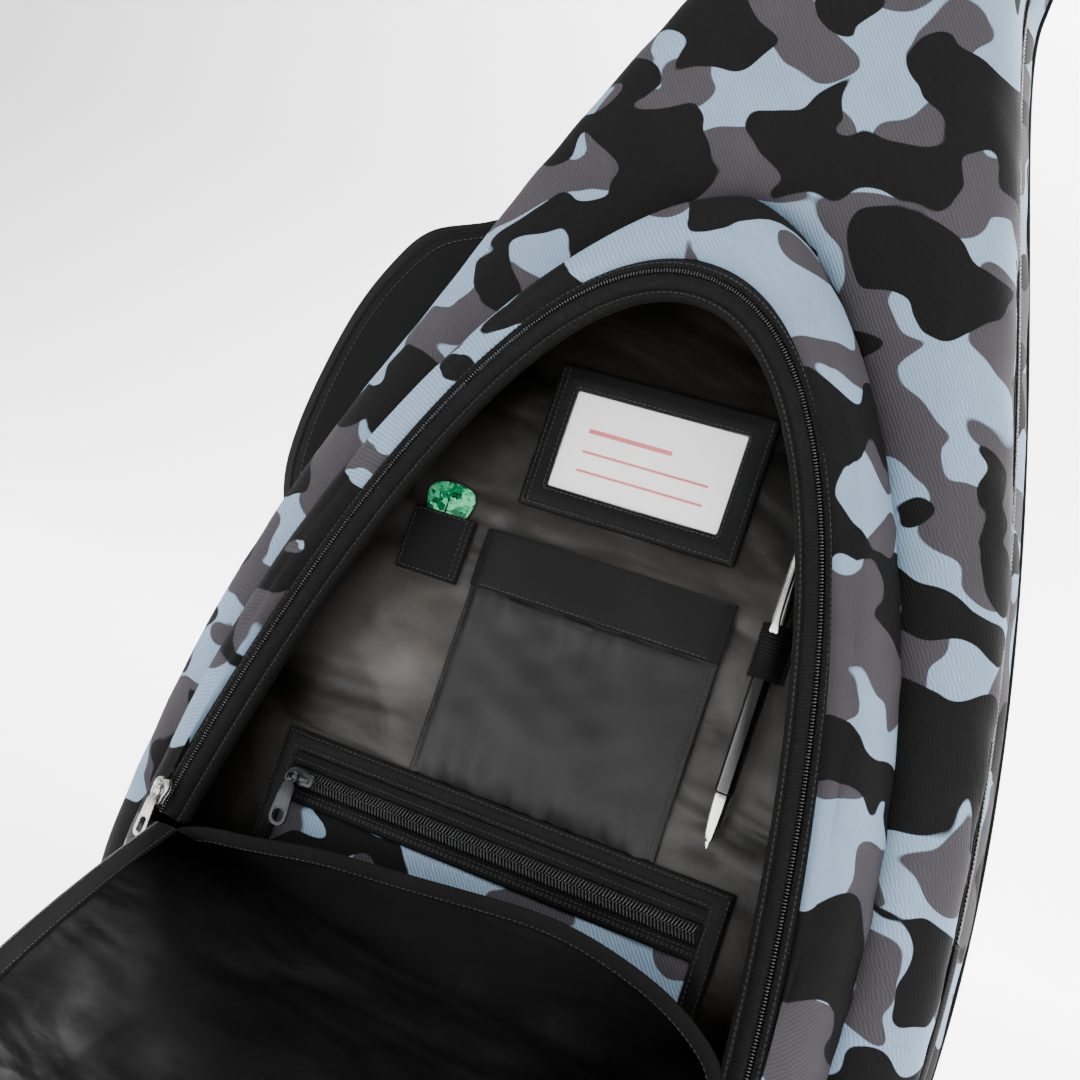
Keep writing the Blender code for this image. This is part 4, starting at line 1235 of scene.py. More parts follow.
def make_rim():
    """The pocket zip's half that stays on the bag: tapes, coil and the bound inner edge."""
    path = in_space(resampled(arch(), 0.0025), RIM_Y)
    side = inward_of(path)
    outer = [(-0.0115, -0.0012), (-0.0085, 0.0016), (-0.0052, 0.0024), (-0.0050, 0.0012)]
    outer += [(-0.0085, 0.0002)]
    inner = [(-0.0030, 0.0014), (-0.0026, 0.0026), (0.0010, 0.0021), (0.0046, 0.0004)]
    inner += [(0.0046, -0.0008)]
    roll = [(0.0040, -0.0006), (0.0048, 0.0007), (0.0066, 0.0008), (0.0082, -0.0004)]
    roll += [(0.0090, -0.0026), (0.0086, -0.0050), (0.0072, -0.0066), (0.0058, -0.0050)]
    roll += [(0.0052, -0.0028)]
    for name, profile, look in (
        ("rim_tape_outer", outer, "zip_tape"),
        ("rim_tape_inner", inner, "zip_tape"),
        ("rim_binding", roll, "binding"),
    ):
        dress(sweep(name, path, side, OUT, profile), look, "lid", "black_webbing")
    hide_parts("pocket_rim_tape")
    teeth = tooth_row("rim_coil", path - side * 0.0038 + OUT * 0.0026, 0.0017)
    dress(teeth, "zip_coil_bright", "lid", "zip_coil", "pocket_rim_teeth")
    lines = [(path - side * 0.0078 + OUT * 0.0019, OUT), (path + side * 0.0058 + OUT * 0.0009, OUT)]
    sew("rim_stitches", lines, RIM_STITCH)


def inward_of(path):
    """Directions into the opening, square to an arch in a plane of even Y."""
    side = unit(np.cross(tangents(path), OUT))
    middle = path.mean(0)
    if ((middle - path) * side).sum() < 0:
        side = -side
    return side


RIM_COIL_PITCH = 0.00145
RIM_COIL_WIDTH = 0.0024


def tooth_row(name, path, height):
    """A zip coil's turns, side by side along a path in a plane of even Y."""
    even = resampled(path, RIM_COIL_PITCH)
    way = tangents(even)
    side = unit(np.cross(OUT, way))
    turn = bead(RIM_COIL_PITCH * 0.66, RIM_COIL_WIDTH, height, 7, 4)
    return copies(name, turn, even, way, side, np.broadcast_to(OUT, even.shape))


# ---------------------------------------------------------------- the organizer's pockets


def on_organizer(obj):
    """Turns a piece that was drawn square to the tilt of the organizer."""
    points = places(obj) - ORGANIZER_CENTRE
    c, s = math.cos(ORGANIZER_TILT), math.sin(ORGANIZER_TILT)
    turned = points @ np.array(((c, 0, -s), (0, 1, 0), (s, 0, c)))
    place(obj, turned + ORGANIZER_CENTRE + ORGANIZER_SHIFT)
    return obj


def patch_ring(x0, x1, z0, z1, radius, straight=24, turn=5):
    """A rounded rectangle with the same number of points on each side and corner."""
    runs = [np.array([(x0 + radius, z0)])]
    for start, arc in round_corners(x0, x1, z0, z1, radius, turn):
        runs += [line(runs[-1][-1], start[0], straight), arc]
    return np.vstack(runs)[:-1]


def ring_of(area, radius, counts=(24, 5), grow=0.0):
    """A patch's ring from its (x0, x1, z0, z1), made larger on each side."""
    x0, x1, z0, z1 = area
    return patch_ring(x0 - grow, x1 + grow, z0 - grow, z1 + grow, radius, *counts)


def closed_line(ring):
    """The ring's points with the first one again at the end."""
    return np.vstack((ring, ring[:1]))


def looped(name, rings):
    """A closed frame whose section runs through the rings and back to the first."""
    rings = np.array(rings)
    obj = build(name, rings.reshape(-1, 3), grid_faces(*rings.shape[:2], True, True))
    settle_normals(obj)
    return obj


def between_rings(outer, inner, levels):
    """Rings in space from (share of the way in, y) levels."""
    return [in_space(outer + (inner - outer) * t, y) for t, y in levels]


def seam(name, paths, y, pitch=0.0026, thread=FINE_THREAD):
    """Rows of stitches on the organizer, along (x, z) paths in a plane of even Y."""
    lines = [(in_space(np.asarray(path, float), y), OUT) for path in paths]
    sew(name, lines, pitch, thread, turn=on_organizer)


def crumple(obj, scale, seed, height, front):
    """Waves in a frame's cloth, on its points that lie in front of the plane."""
    points = places(obj)
    wave = ripple(points[:, (0, 2)], scale, seed) * height * (points[:, 1] < front)
    place(obj, points + np.outer(wave, OUT))


# How far the small pockets stand out from the organizer
PATCH_DEPTH = 0.0026
CARD_SLOT = 0.0012


def make_id_holder():
    """A stitched frame round a clear window, open at its top for the card."""
    back, front = ITEM_Y, ITEM_Y - PATCH_DEPTH
    outer = ring_of(ID_FRAME, 0.0015)
    inner = ring_of(ID_WINDOW, 0.0012)
    levels = ((0.0, back), (-0.03, back - 0.0007), (0.0, back - 0.0014), (0.10, front + 0.0003))
    levels += ((0.24, front + 0.0005), (0.32, front + 0.0001), (0.70, front), (0.80, front + 0.0004))
    levels += ((0.92, front + 0.0004), (1.0, front + 0.0010), (1.0, back - 0.0012), (0.5, back - 0.0010))
    frame_cloth = looped("id_frame", between_rings(outer, inner, levels))
    crumple(frame_cloth, 0.030, 61, 0.00025, front + 0.0008)
    open_for_card(frame_cloth)
    dress(on_organizer(frame_cloth), "frame_cloth", "lid", "black_webbing", "id_holder_frame")
    left, right, low, high = -0.0508, 0.0560, 0.3728, 0.4395
    near = ring_of(ID_WINDOW, 0.0012, grow=0.0018)
    rows = [closed_line(near), [(left, low), (left, high)], [(right, high), (right, low)]]
    rows += [[(left, 0.3730), (right, 0.3730)], [(-0.0482, 0.3735), (-0.0482, high)]]
    seam("id_frame_stitches", rows, front - 0.0001)

    pane_y = back - 0.0014 - 0.0004
    flat, faces = filled([ring_of(ID_WINDOW, 0.0012, (30, 3), 0.0015)], 0.0025)
    pane = build("id_pane", in_space(flat, pane_y - ripple(flat, 0.045, 62) * 0.00012), faces)
    face_outwards(pane, OUT)
    dress(on_organizer(pane), "vinyl", "lid", "clear_vinyl", "id_window")

    y_back, y_front = back - 0.0004, back - 0.0010
    levels = ((0.00008, y_back), (0.0, y_back - 0.00015))
    levels += ((0.0, y_front + 0.00015), (0.00008, y_front))
    card = stack("id_card_sheet", ring_of(ID_CARD, 0.0015, (6, 5)), levels)
    dress(on_organizer(card), "ruled_card", "card", "white_card", "id_card")


def open_for_card(frame_cloth):
    """Lifts the back of the frame's top edge so that the card can slide out."""
    points = places(frame_cloth)
    middle = (ID_CARD[0] + ID_CARD[1]) / 2
    half = (ID_CARD[1] - ID_CARD[0]) / 2 + 0.005
    top = points[:, 2] > ID_CARD[3] - 0.001
    mouth = top & (np.abs(points[:, 0] - middle) < half)
    points[mouth, 1] = np.minimum(points[mouth, 1], ITEM_Y - CARD_SLOT)
    place(frame_cloth, points)


def puffed(name, x0, x1, z0, z1, depth, columns=110, rows=110):
    """A grid in front of the organizer, as far out as depth(u, v, x, z) says."""
    u, v = np.meshgrid(np.linspace(0, 1, columns), np.linspace(0, 1, rows))
    x, z = x0 + (x1 - x0) * u, z0 + (z1 - z0) * v
    y = ITEM_Y - depth(u, v, x, z)
    points = np.stack((x, y, z), -1).reshape(-1, 3)
    obj = build(name, points, grid_faces(rows, columns))
    face_outwards(obj, OUT)
    return obj


HEM_Z = 0.327
HEM_TOP = 0.006


def phone_depth(u, v, x, z):
    """How far the phone pocket's cloth stands out, with its gathers."""
    low = PHONE_POCKET[2]
    sides = 1 - np.abs(2 * u - 1) ** 7
    flange = np.clip((0.5 - np.abs(u - 0.5)) / 0.035, 0, 1)
    rise = 1 - np.exp(-(z - low) / 0.010)
    hem = np.exp(-(((z - HEM_Z) / 0.0028) ** 2))
    depth = 0.0012 + 0.0054 * sides * rise * flange**0.5
    depth -= 0.0014 * hem * sides
    gathers = grid_ripple(x, z * 0.12, 0.0085, 63)
    below = np.clip((HEM_Z - z) / 0.004, 0, 1)
    reach = np.exp(-(z - low) / 0.013) + 0.75 * np.exp(-np.abs(HEM_Z - z) / 0.010) * below
    depth += 0.0011 * gathers * reach * flange
    soft = grid_ripple(x, z, 0.045, 64) * 0.0010 + grid_ripple(x, z, 0.018, 65) * 0.0003
    return np.maximum(depth + soft * sides * rise * (0.35 + 0.65 * below), 0.0006)


def hem_level(u, x):
    """How far the phone pocket stands out just above its hem's seam."""
    return phone_depth(u, u * 0, x, x * 0 + HEM_Z + HEM_TOP)


def hem_depth(u, v, x, z):
    """How far the phone pocket's hem stands out."""
    crown = np.sin(math.pi * np.clip(v, 0, 1)) ** 0.5
    wave = grid_ripple(x, z, 0.035, 67) * 0.00025
    under = phone_depth(u, v * 0, x, np.maximum(z, HEM_Z + HEM_TOP))
    return under + 0.0006 + 0.0008 * crown + wave


HEM_GRID = (150, 30)


def make_phone_pocket():
    """A gathered pocket with a wide hem."""
    x0, x1, z0, z1 = PHONE_POCKET
    pocket = puffed("phone_pocket_cloth", x0, x1, z0, z1 - 0.0010, phone_depth, 150, 130)
    points = places(pocket)
    scallop = np.exp(-(points[:, 2] - z0) / 0.006) * ripple(points[:, :1], 0.009, 66) * 0.0008
    place(pocket, points + np.outer(scallop, UP))
    dress(on_organizer(solid(pocket, 0.0006)), "black_nylon", "lid", "black_fabric", "phone_pocket")

    columns, rows = HEM_GRID
    area = (x0 - 0.0004, x1 + 0.0004, HEM_Z, z1)
    front = puffed("phone_pocket_hem_cloth", *area, hem_depth, columns, rows)
    fold = places(front).reshape(rows, columns, 3)
    lip = fold[-1] + (0.0, 0.0014, 0.0002)
    tucked = fold[0] + (0.0, 0.0010, 0.0002)
    whole = np.vstack((tucked[None], fold, lip[None]))
    bpy.data.objects.remove(front)
    hem = build("phone_pocket_hem_cloth", whole.reshape(-1, 3), grid_faces(rows + 2, columns))
    face_outwards(hem, OUT)
    dress(on_organizer(solid(hem, 0.0005)), "hem_cloth", "lid", "black_fabric", "phone_pocket_hem")
    sew_phone_pocket(x0, x1, z0, z1)


def sew_phone_pocket(x0, x1, z0, z1):
    """The rows down the pocket's sides and along its hem, and a bar tack at its mouth."""
    sides = []
    for x in (x0 + 0.0016, x0 + 0.0034, x1 - 0.0016, x1 - 0.0034):
        sides.append([(x, z0 + 0.002), (x, HEM_Z - 0.001)])
    seam("phone_pocket_side_stitches", sides, ITEM_Y - PATCH_DEPTH, 0.0024)
    step = np.arange(x0 + 0.003, x1 - 0.003, 0.0030)
    at = np.column_stack((step, np.full(len(step), HEM_Z + 0.0013)))
    level = ITEM_Y - hem_level((step - x0) / (x1 - x0), step) - 0.0010
    sew("phone_hem_stitches", [(in_space(at, level), OUT)], 0.0026, turn=on_organizer)
    bar = np.arange(HEM_Z + 0.001, z1 - 0.002, 0.0011)
    zigzag = [(x1 - 0.0006 + 0.0016 * (i % 2), z) for i, z in enumerate(bar)]
    beside = [(x1 - 0.002, HEM_Z), (x1 - 0.002, z1 - 0.003)]
    seam("phone_pocket_bar_tack", [zigzag, beside], ITEM_Y - 0.0016, 0.0013)


def make_pick_pocket():
    """A little pocket of the frame's cloth, and the plectrum in it."""
    back, front = ITEM_Y, ITEM_Y - PATCH_DEPTH
    outer = ring_of(PICK_POCKET, 0.0010, (16, 4))
    levels = ((0.0002, back), (0.0, back - 0.0008), (0.0003, front + 0.0005), (0.0008, front))
    pocket = stack("pick_pocket_cloth", outer, levels)
    dress(on_organizer(pocket), "frame_cloth", "lid", "black_webbing", "pick_pocket")
    left, right, low, high = -0.1022, -0.0714, 0.3258, 0.355
    rows = [[(left, high), (left, low), (right, low)], [(right, 0.3262), (right, high)]]
    rows += [[(-0.0742, 0.3262), (-0.0742, high)], [(-0.1015, 0.3548), (-0.0720, 0.3548)]]
    seam("pick_pocket_stitches", rows, front - 0.0001)

    tip, side, top = (-0.087, 0.3400), (-0.0740, 0.3640), (-0.087, 0.3710)
    half = [[tip], bezier(tip, (-0.0835, 0.3400), (-0.0745, 0.3560), side, 24)]
    half.append(bezier(side, (-0.0740, 0.3700), (-0.0810, 0.3710), top, 16))
    right = np.vstack(half)
    ring = np.vstack((right, (right[-2:0:-1] * (-1, 1)) + (2 * tip[0], 0)))
    y0, y1 = back - 0.0004, back - 0.0014
    levels = ((0.0006, y0), (0.0002, y0 - 0.0001), (0.0, y0 - 0.0004), (0.0001, y1 + 0.0003))
    levels += ((0.0006, y1 + 0.0001), (0.0020, y1), (0.0045, y1 - 0.0001))
    pick = stack("plectrum", ring, levels)
    dress(on_organizer(pick), "pearl", "guitar_pick", "green_celluloid", "pick")


LATHE_SIDES = 48


def lathe(name, profile, centre):
    """A turned piece on a vertical axis, from (radius, z) points with closed ends."""
    angle = np.linspace(0, 2 * math.pi, LATHE_SIDES, endpoint=False)
    circle = np.column_stack((np.cos(angle), np.sin(angle)))
    rings = np.array([level_ring(np.array(centre) + circle * r, z) for r, z in profile])
    return closed_solid(name, rings, sharp=35)


PEN_X = 0.088
PEN_Y = ITEM_Y - 0.0062
PEN_LOOP_Z = 0.3395


def make_pen():
    """A push-button pen in an elastic loop."""
    centre = (PEN_X, PEN_Y)
    barrel = [(0.0036, 0.3452), (0.0043, 0.3448), (0.0044, 0.344), (0.0045, 0.320), (0.0044, 0.2760)]
    barrel += [(0.00425, 0.2748), (0.0036, 0.2745)]
    tip = [(0.0034, 0.2743), (0.0042, 0.2740), (0.0043, 0.2732), (0.0042, 0.2715), (0.0040, 0.2680)]
    tip += [(0.0035, 0.2625), (0.0028, 0.2570), (0.0022, 0.2535), (0.00195, 0.2528), (0.0013, 0.2525)]
    tip += [(0.0011, 0.2515), (0.00095, 0.2500), (0.0005, 0.2491), (0.0002, 0.2490)]
    cap = [(0.0012, 0.3982), (0.0018, 0.3980), (0.0021, 0.3970), (0.0023, 0.3918), (0.0027, 0.3914)]
    cap += [(0.0033, 0.3908), (0.0037, 0.3890), (0.0041, 0.3800), (0.0044, 0.3620), (0.00445, 0.3470)]
    cap += [(0.0043, 0.3456), (0.0036, 0.3454)]
    band = [(0.00435, 0.3462), (0.00465, 0.3459), (0.00465, 0.3452), (0.00435, 0.3449)]
    for name, profile, look, slot, node in (
        ("pen_barrel_turned", barrel, "pen_black", "pen_black", "pen_barrel"),
        ("pen_tip_turned", tip, "chrome", "pen_chrome", "pen_tip"),
        ("pen_cap_turned", cap, "chrome", "pen_chrome", "pen_cap"),
        ("pen_ring", band, "chrome", "pen_chrome", None),
    ):
        piece = on_organizer(lathe(name, profile, centre))
        dress(piece, look, "pen", slot, *([node] if node else []))
    make_pen_clip()
    make_pen_loop()


def make_pen_clip():
    """The pen's spring clip: it narrows and thickens down to its foot."""
    t = np.linspace(0, 1, 40)
    z = 0.3895 - t * 0.0475
    half = 0.0013 + 0.0011 * np.exp(-(((t - 0.86) / 0.10) ** 2))
    half = half - 0.0010 * np.clip((t - 0.93) / 0.07, 0, 1)
    stand = PEN_Y - 0.0051 - 0.0018 * np.sin(math.pi * np.clip(t * 1.1, 0, 1)) ** 0.7
    stand[:3] += (0.0016, 0.0008, 0.0002)
    left = [(-1, 0.5), (-0.85, 0.1), (-0.4, -0.3)]
    section = np.array([*left, *((-x, y) for x, y in left[::-1]), (0, 0.75)])
    rings = [
        level_ring(np.column_stack((PEN_X + section[:, 0] * h, y + section[:, 1] * 0.0009)), level)
        for h, y, level in zip(half, stand, z)
    ]
    clip = closed_solid("pen_clip_spring", np.array(rings), sharp=50)
    dress(on_organizer(clip), "chrome", "pen", "pen_chrome", "pen_clip")


def make_pen_loop():
    """The elastic that goes round the pen and is sewn down on both sides of it."""
    angle = np.linspace(math.pi, 2 * math.pi, 25)
    loop = np.column_stack((PEN_X + 0.0054 * np.cos(angle), PEN_Y + 0.0054 * np.sin(angle)))
    left = [(PEN_X - 0.0086, ITEM_Y - 0.0006), (PEN_X - 0.0068, ITEM_Y - 0.0008)]
    left += [(PEN_X - 0.0058, ITEM_Y - 0.0022)]
    right = [(2 * PEN_X - x, y) for x, y in left[::-1]]
    path = smooth_line(np.vstack((left, loop, right)), 0.0006)
    path = level_ring(path, PEN_LOOP_Z)
    outward = np.cross(tangents(path), UP)
    outward *= np.sign((outward * (path - (PEN_X, ITEM_Y, PEN_LOOP_Z))).sum(1) + 1e-9)[:, None]
    strip = [(-0.0123, -0.0004), (0.0, -0.0004), (0.0123, -0.0004), (0.0125, 0.0), (0.0123, 0.0004)]
    strip += [(0.0, 0.0005), (-0.0123, 0.0004), (-0.0125, 0.0)]
    elastic = sweep("pen_loop_elastic", path, UP, outward, strip)
    dress(on_organizer(elastic), "elastic", "lid", "black_webbing", "pen_loop")
    rows = [[(x, 0.3285), (x, 0.3505)] for x in (PEN_X - 0.0080, PEN_X + 0.0080)]
    seam("pen_loop_stitches", rows, ITEM_Y - 0.0014, 0.0018)


ZIP_POCKET_RIM = 0.009
COIL_Z = 0.2125
COIL_PITCH = 0.0017
COIL_LEAN = 0.38
TAPE_LOW_Z = 0.2000


def make_zip_pocket():
    """The flat zipped pocket: its bound frame, zip tapes, chunky coil and printed panel."""
    x0, x1, z0, z1 = ZIP_POCKET
    rim = ZIP_POCKET_RIM
    back = ITEM_Y
    outer = ring_of(ZIP_POCKET, 0.0012, (60, 4))
    inner = ring_of(ZIP_POCKET, 0.0008, (60, 4), -rim)
    levels = ((0.0, back), (-0.05, back - 0.0010), (0.0, back - 0.0024), (0.15, back - 0.0033))
    levels += ((0.35, back - 0.0036), (0.70, back - 0.0035), (0.80, back - 0.0030), (0.95, back - 0.0034))
    levels += ((1.06, back - 0.0029), (1.06, back - 0.0008), (0.5, back - 0.0003))
    border = looped("zip_pocket_border", between_rings(outer, inner, levels))
    crumple(border, 0.026, 71, 0.00022, back - 0.002)
    dress(on_organizer(border), "frame_cloth", "lid", "black_webbing", "zip_pocket_binding")
    near = ring_of(ZIP_POCKET, 0.001, grow=0.0016 - rim)
    rows = [closed_line(near), [(x0 + 0.0012, z0 + 0.002), (x0 + 0.0012, z1 - 0.001)]]
    rows += [[(x0 + 0.002, z1 - 0.0013), (x1 - 0.002, z1 - 0.0013)]]
    rows += [[(x1 - 0.0012, z0), (x1 - 0.0012, z1 - 0.002)]]
    seam("zip_pocket_border_stitches", rows, back - 0.0037)

    left, right = x0 + rim - 0.0004, x1 - rim + 0.0004
    make_pocket_tapes(left, right, z1 - rim + 0.0004)
    make_pocket_coil(left, right)
    area = (left - 0.001, right + 0.001, z0 + rim - 0.001, TAPE_LOW_Z + 0.0012)
    panel = puffed("zip_pocket_panel_cloth", *area, panel_depth, 120, 60)
    panel = on_organizer(solid(panel, 0.0006))
    dress(panel, "camo_inner", "lid", "camo_fabric", "zip_pocket_panel")


def make_pocket_tapes(left, right, top_z):
    """The zip's two tapes, stitched along their edges."""
    back = ITEM_Y
    x = np.linspace(left, right, 120)
    along = in_space(np.column_stack((x, x * 0)), back - 0.0008)
    for name, low, high in (
        ("upper", COIL_Z + 0.0042, top_z),
        ("lower", TAPE_LOW_Z, COIL_Z - 0.0042),
    ):
        middle = (low + high) / 2
        half = (high - low) / 2
        t = np.linspace(-1, 1, 9)
        top = np.column_stack((half * t, 0.0014 + 0.0006 * (1 - t**4)))
        under = np.column_stack((half * t[::-1], np.zeros(9)))
        path = along + (0, 0, middle)
        path[:, 1] -= ripple(path[:, :1], 0.05, 72) * 0.00015
        tape = sweep(f"zip_pocket_tape_{name}_cloth", path, UP, OUT, np.vstack((top, under)))
        node = f"zip_pocket_tape_{name}"
        dress(on_organizer(tape), "zip_tape_flat", "lid", "black_webbing", node)
    levels = (COIL_Z + 0.0078, COIL_Z - 0.0068, COIL_Z - 0.0086, 0.2030)
    rows = [[(left, z), (right, z)] for z in levels]
    seam("zip_tape_stitches", rows, back - 0.0029, 0.0024, 0.0004)


def make_pocket_coil(left, right):
    """The closed coil: two leaning rows of turns on a woven core."""
    start = np.arange(left + 0.003, right - 0.002, COIL_PITCH)
    for name, side, shift in (("upper", 1, 0.0), ("lower", -1, COIL_PITCH / 2)):
        at = np.column_stack((start + shift, np.full(len(start), COIL_Z + side * 0.0019)))
        origins = in_space(at, ITEM_Y - 0.0040)
        lean = np.array((side * COIL_LEAN, 0.0, 1.0)) / math.hypot(COIL_LEAN, 1.0)
        axes = [np.broadcast_to(way, origins.shape) for way in (lean, np.cross(OUT, lean), OUT)]
        turn = bead(0.0054, 0.00098, 0.0021, 8, 9)
        teeth = copies(f"zip_pocket_coil_{name}", turn, origins, *axes)
        dress(on_organizer(teeth), "zip_coil_bright", "lid", "zip_coil")
    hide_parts("zip_pocket_coil")
    cord = resampled(in_space(np.array(((left, COIL_Z), (right, COIL_Z))), ITEM_Y - 0.0030), 0.004)
    section = patch_ring(-0.0046, 0.0046, -0.0006, 0.0006, 0.0004, 4, 2)
    core = sweep("zip_pocket_core", cord, UP, OUT, section)
    dress(on_organizer(core), "zip_tape", "lid", "black_webbing")


def panel_depth(u, v, x, z):
    """How far the zipped pocket's printed panel stands out."""
    soft = np.sin(math.pi * u) ** 0.35 * np.sin(math.pi * v) ** 0.5
    return 0.0012 + 0.0019 * soft + grid_ripple(x, z, 0.06, 73) * 0.0004 * soft


# ---------------------------------------------------------------- zip sliders and pulls


def placed_on(obj, origin, across, along, out):
    """Moves a piece drawn in its own (across, out, along) axes to its place."""
    axes = np.array((across, out, along), float)
    place(obj, places(obj) @ axes + np.asarray(origin, float))
    return obj


def slider_body(name, width, length, height):
    """A zip slider: two plates with a waist between them, a wedge nose and a bridge."""
    half, tail = width / 2, width * 0.36
    corner, shoulder, nose = (tail, -length * 0.44), (half, length * 0.16), (half * 0.45, length / 2)
    notch = (0.0, length * 0.43)
    ring = mirrored(
        [(0.0, -length / 2), (tail * 0.7, -length / 2), corner],
        bezier(corner, (tail, -length * 0.15), (half, -length * 0.10), shoulder, 8),
        bezier(shoulder, (half, length * 0.42), (half * 0.62, length / 2), nose, 8),
        bezier(nose, (half * 0.25, length * 0.5), (half * 0.2, length * 0.43), notch, 5),
    )
    levels = ((0.0004, 0.0), (0.0, -0.0003), (0.0, -height * 0.22), (0.0007, -height * 0.27))
    levels += ((0.0007, -height * 0.42), (0.0, -height * 0.47), (0.0, -height * 0.66))
    levels += ((0.0003, -height * 0.74), (0.0010, -height * 0.78))
    body = stack(name, ring, levels)
    t = np.linspace(0, math.pi, 15)
    rise = -height * 0.70 - height * 0.36 * np.sin(t) ** 0.7
    path = np.column_stack((np.zeros(15), rise, length * 0.34 * np.cos(t)))
    side = np.broadcast_to((1.0, 0.0, 0.0), path.shape)
    section = patch_ring(-width * 0.13, width * 0.13, -0.0005, 0.0005, 0.0003, 2, 3)
    bridge = sweep(name + "_bridge", path, side, np.cross(side, tangents(path)), section)
    return merged(body, sharpen(bridge, 50))


def merged(first, *others):
    """One object made of several, which keeps the first one's name."""
    with bpy.context.temp_override(active_object=first, selected_editable_objects=[first, *others]):
        bpy.ops.object.join()
    return first


def pull_tab(name, width, length, thickness, hole_width, hole_length):
    """A flat pull with a long hole near its end and a ring that goes round the bridge."""
    outer = patch_ring(-width / 2, width / 2, -length, -length * 0.16, width * 0.46, 8, 8)
    low = -length + (width - hole_width) / 2 * 1.15
    inner = patch_ring(-hole_width / 2, hole_width / 2, low, low + hole_length, hole_width * 0.46, 8, 8)
    waist = np.clip((outer[:, 1] + length * 0.75) / (length * 0.5), 0, 1)
    outer[:, 0] *= 1 - 0.22 * waist
    t = thickness
    levels = ((0.0, -t * 0.25), (0.0, -t * 0.75), (0.10, -t), (0.86, -t), (1.0, -t * 0.75))
    levels += ((1.0, -t * 0.25), (0.86, 0.0), (0.10, 0.0))
    tab = sharpen(looped(name, between_rings(outer, inner, levels)), 50)
    angle = np.linspace(0, 2 * math.pi, 28, endpoint=False)
    ring_half, ring_rise = width * 0.30, length * 0.11
    flat = (ring_half * np.cos(angle), -length * 0.09 + ring_rise * np.sin(angle))
    loop = round_cord(name + "_ring", in_space(np.column_stack(flat), -t / 2), t * 0.42, 10)
    return merged(tab, loop)


def settle_hardware(pieces, nodes, bodies, metal_look="nickel"):
    """Gives finished metal pieces their rest place, shading, look, bodies and nodes."""
    for piece, node, body in zip(pieces, nodes, bodies):
        keep(piece, "rest", places(piece))
        settle_normals(piece)
        sharpen(piece, 45)
        dress(piece, metal_look, body, metal_look, node)


MINUS_X, PLUS_X, PLUS_Y = (-1.0, 0, 0), (1.0, 0, 0), (0, 1.0, 0)


def make_sliders():
    """The sliders and pulls of the main zip, the pocket's zip and the inner pocket's zip."""
    for name, body, tip in (("upper", "top", 1.0), ("lower", "bottom", -1.0)):
        nodes = (f"main_slider_{name}", f"main_pull_{name}")
        low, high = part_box(f"main_slider_{name}")
        middle = (high.x - 0.0001, 0.0, (low.z + high.z) / 2)
        slider = slider_body(f"main_zip_slider_{name}", 0.0110, 0.0178, 0.0052)
        placed_on(slider, middle, OUT, (0, 0, tip), PLUS_X)
        _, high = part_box(f"main_pull_{name}")
        pull = pull_tab(f"main_zip_pull_{name}", 0.0084, 0.0298, 0.0014, 0.0036, 0.0100)
        placed_on(pull, (high.x, 0.0, high.z), OUT, UP, PLUS_X)
        settle_hardware((slider, pull), nodes, (f"main_slider_{body}", f"main_pull_{body}"))

    nodes = ("pocket_slider", "pocket_slider_pull")
    low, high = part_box("pocket_slider")
    middle = ((low.x + high.x) / 2, high.y, (low.z + high.z) / 2)
    slider = slider_body("rim_zip_slider", 0.0088, 0.0128, 0.0046)
    placed_on(slider, middle, PLUS_X, UP, PLUS_Y)
    low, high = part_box("pocket_slider_pull")
    pull = pull_tab("rim_zip_pull", 0.0067, 0.0258, 0.0013, 0.0030, 0.0080)
    placed_on(pull, ((low.x + high.x) / 2, high.y, high.z), PLUS_X, UP, PLUS_Y)
    settle_hardware((slider, pull), nodes, ("rim_slider", "rim_pull"))

    slider_y = ITEM_Y - 0.0028 - 0.0027
    slider = slider_body("zip_pocket_slider_cast", 0.0094, 0.0148, 0.0042)
    placed_on(slider, (-0.112, slider_y + 0.0006, COIL_Z), UP, MINUS_X, PLUS_Y)
    pull = pull_tab("zip_pocket_pull_cast", 0.0094, 0.0268, 0.0015, 0.0058, 0.0062)
    placed_on(pull, (-0.115, slider_y - 0.0034 - 0.0012, COIL_Z + 0.002), PLUS_X, UP, PLUS_Y)
    pieces = (on_organizer(slider), on_organizer(pull))
    nodes = ("zip_pocket_slider", "zip_pocket_pull")
    settle_hardware(pieces, nodes, ("zip_slider", "zip_pull"), "gunmetal")


# ---------------------------------------------------------------- the pocket's door


DOOR_LOW_Z = HINGE_Z + 0.0035
DOOR_INSIDE_Y = RIM_Y - 0.0034
DOOR_OUTSIDE_Y = RIM_Y - 0.0062
DOOR_CLOTH_STEP = 0.0042
FOLD_TAPER = 0.975


def hung_open(points):
    """Points of the closed door, turned about its pivot to where it hangs."""
    y, z = points[:, 1] - DOOR_PIVOT[1], points[:, 2] - DOOR_PIVOT[2]
    c, s = math.cos(DOOR_OPEN_ANGLE), math.sin(DOOR_OPEN_ANGLE)
    turned = (DOOR_PIVOT[1] + y * c - z * s, DOOR_PIVOT[2] + y * s + z * c)
    return np.column_stack((points[:, 0], *turned))


def on_door(obj):
    """Hangs a piece that was drawn on the closed door."""
    place(obj, hung_open(places(obj)))
    return obj


def door_ring(margin):
    """The closed door's outline, moved in by the margin."""
    ring = arch(margin)[::-1]
    return np.column_stack((ring[:, 0], np.maximum(ring[:, 1], DOOR_LOW_Z)))


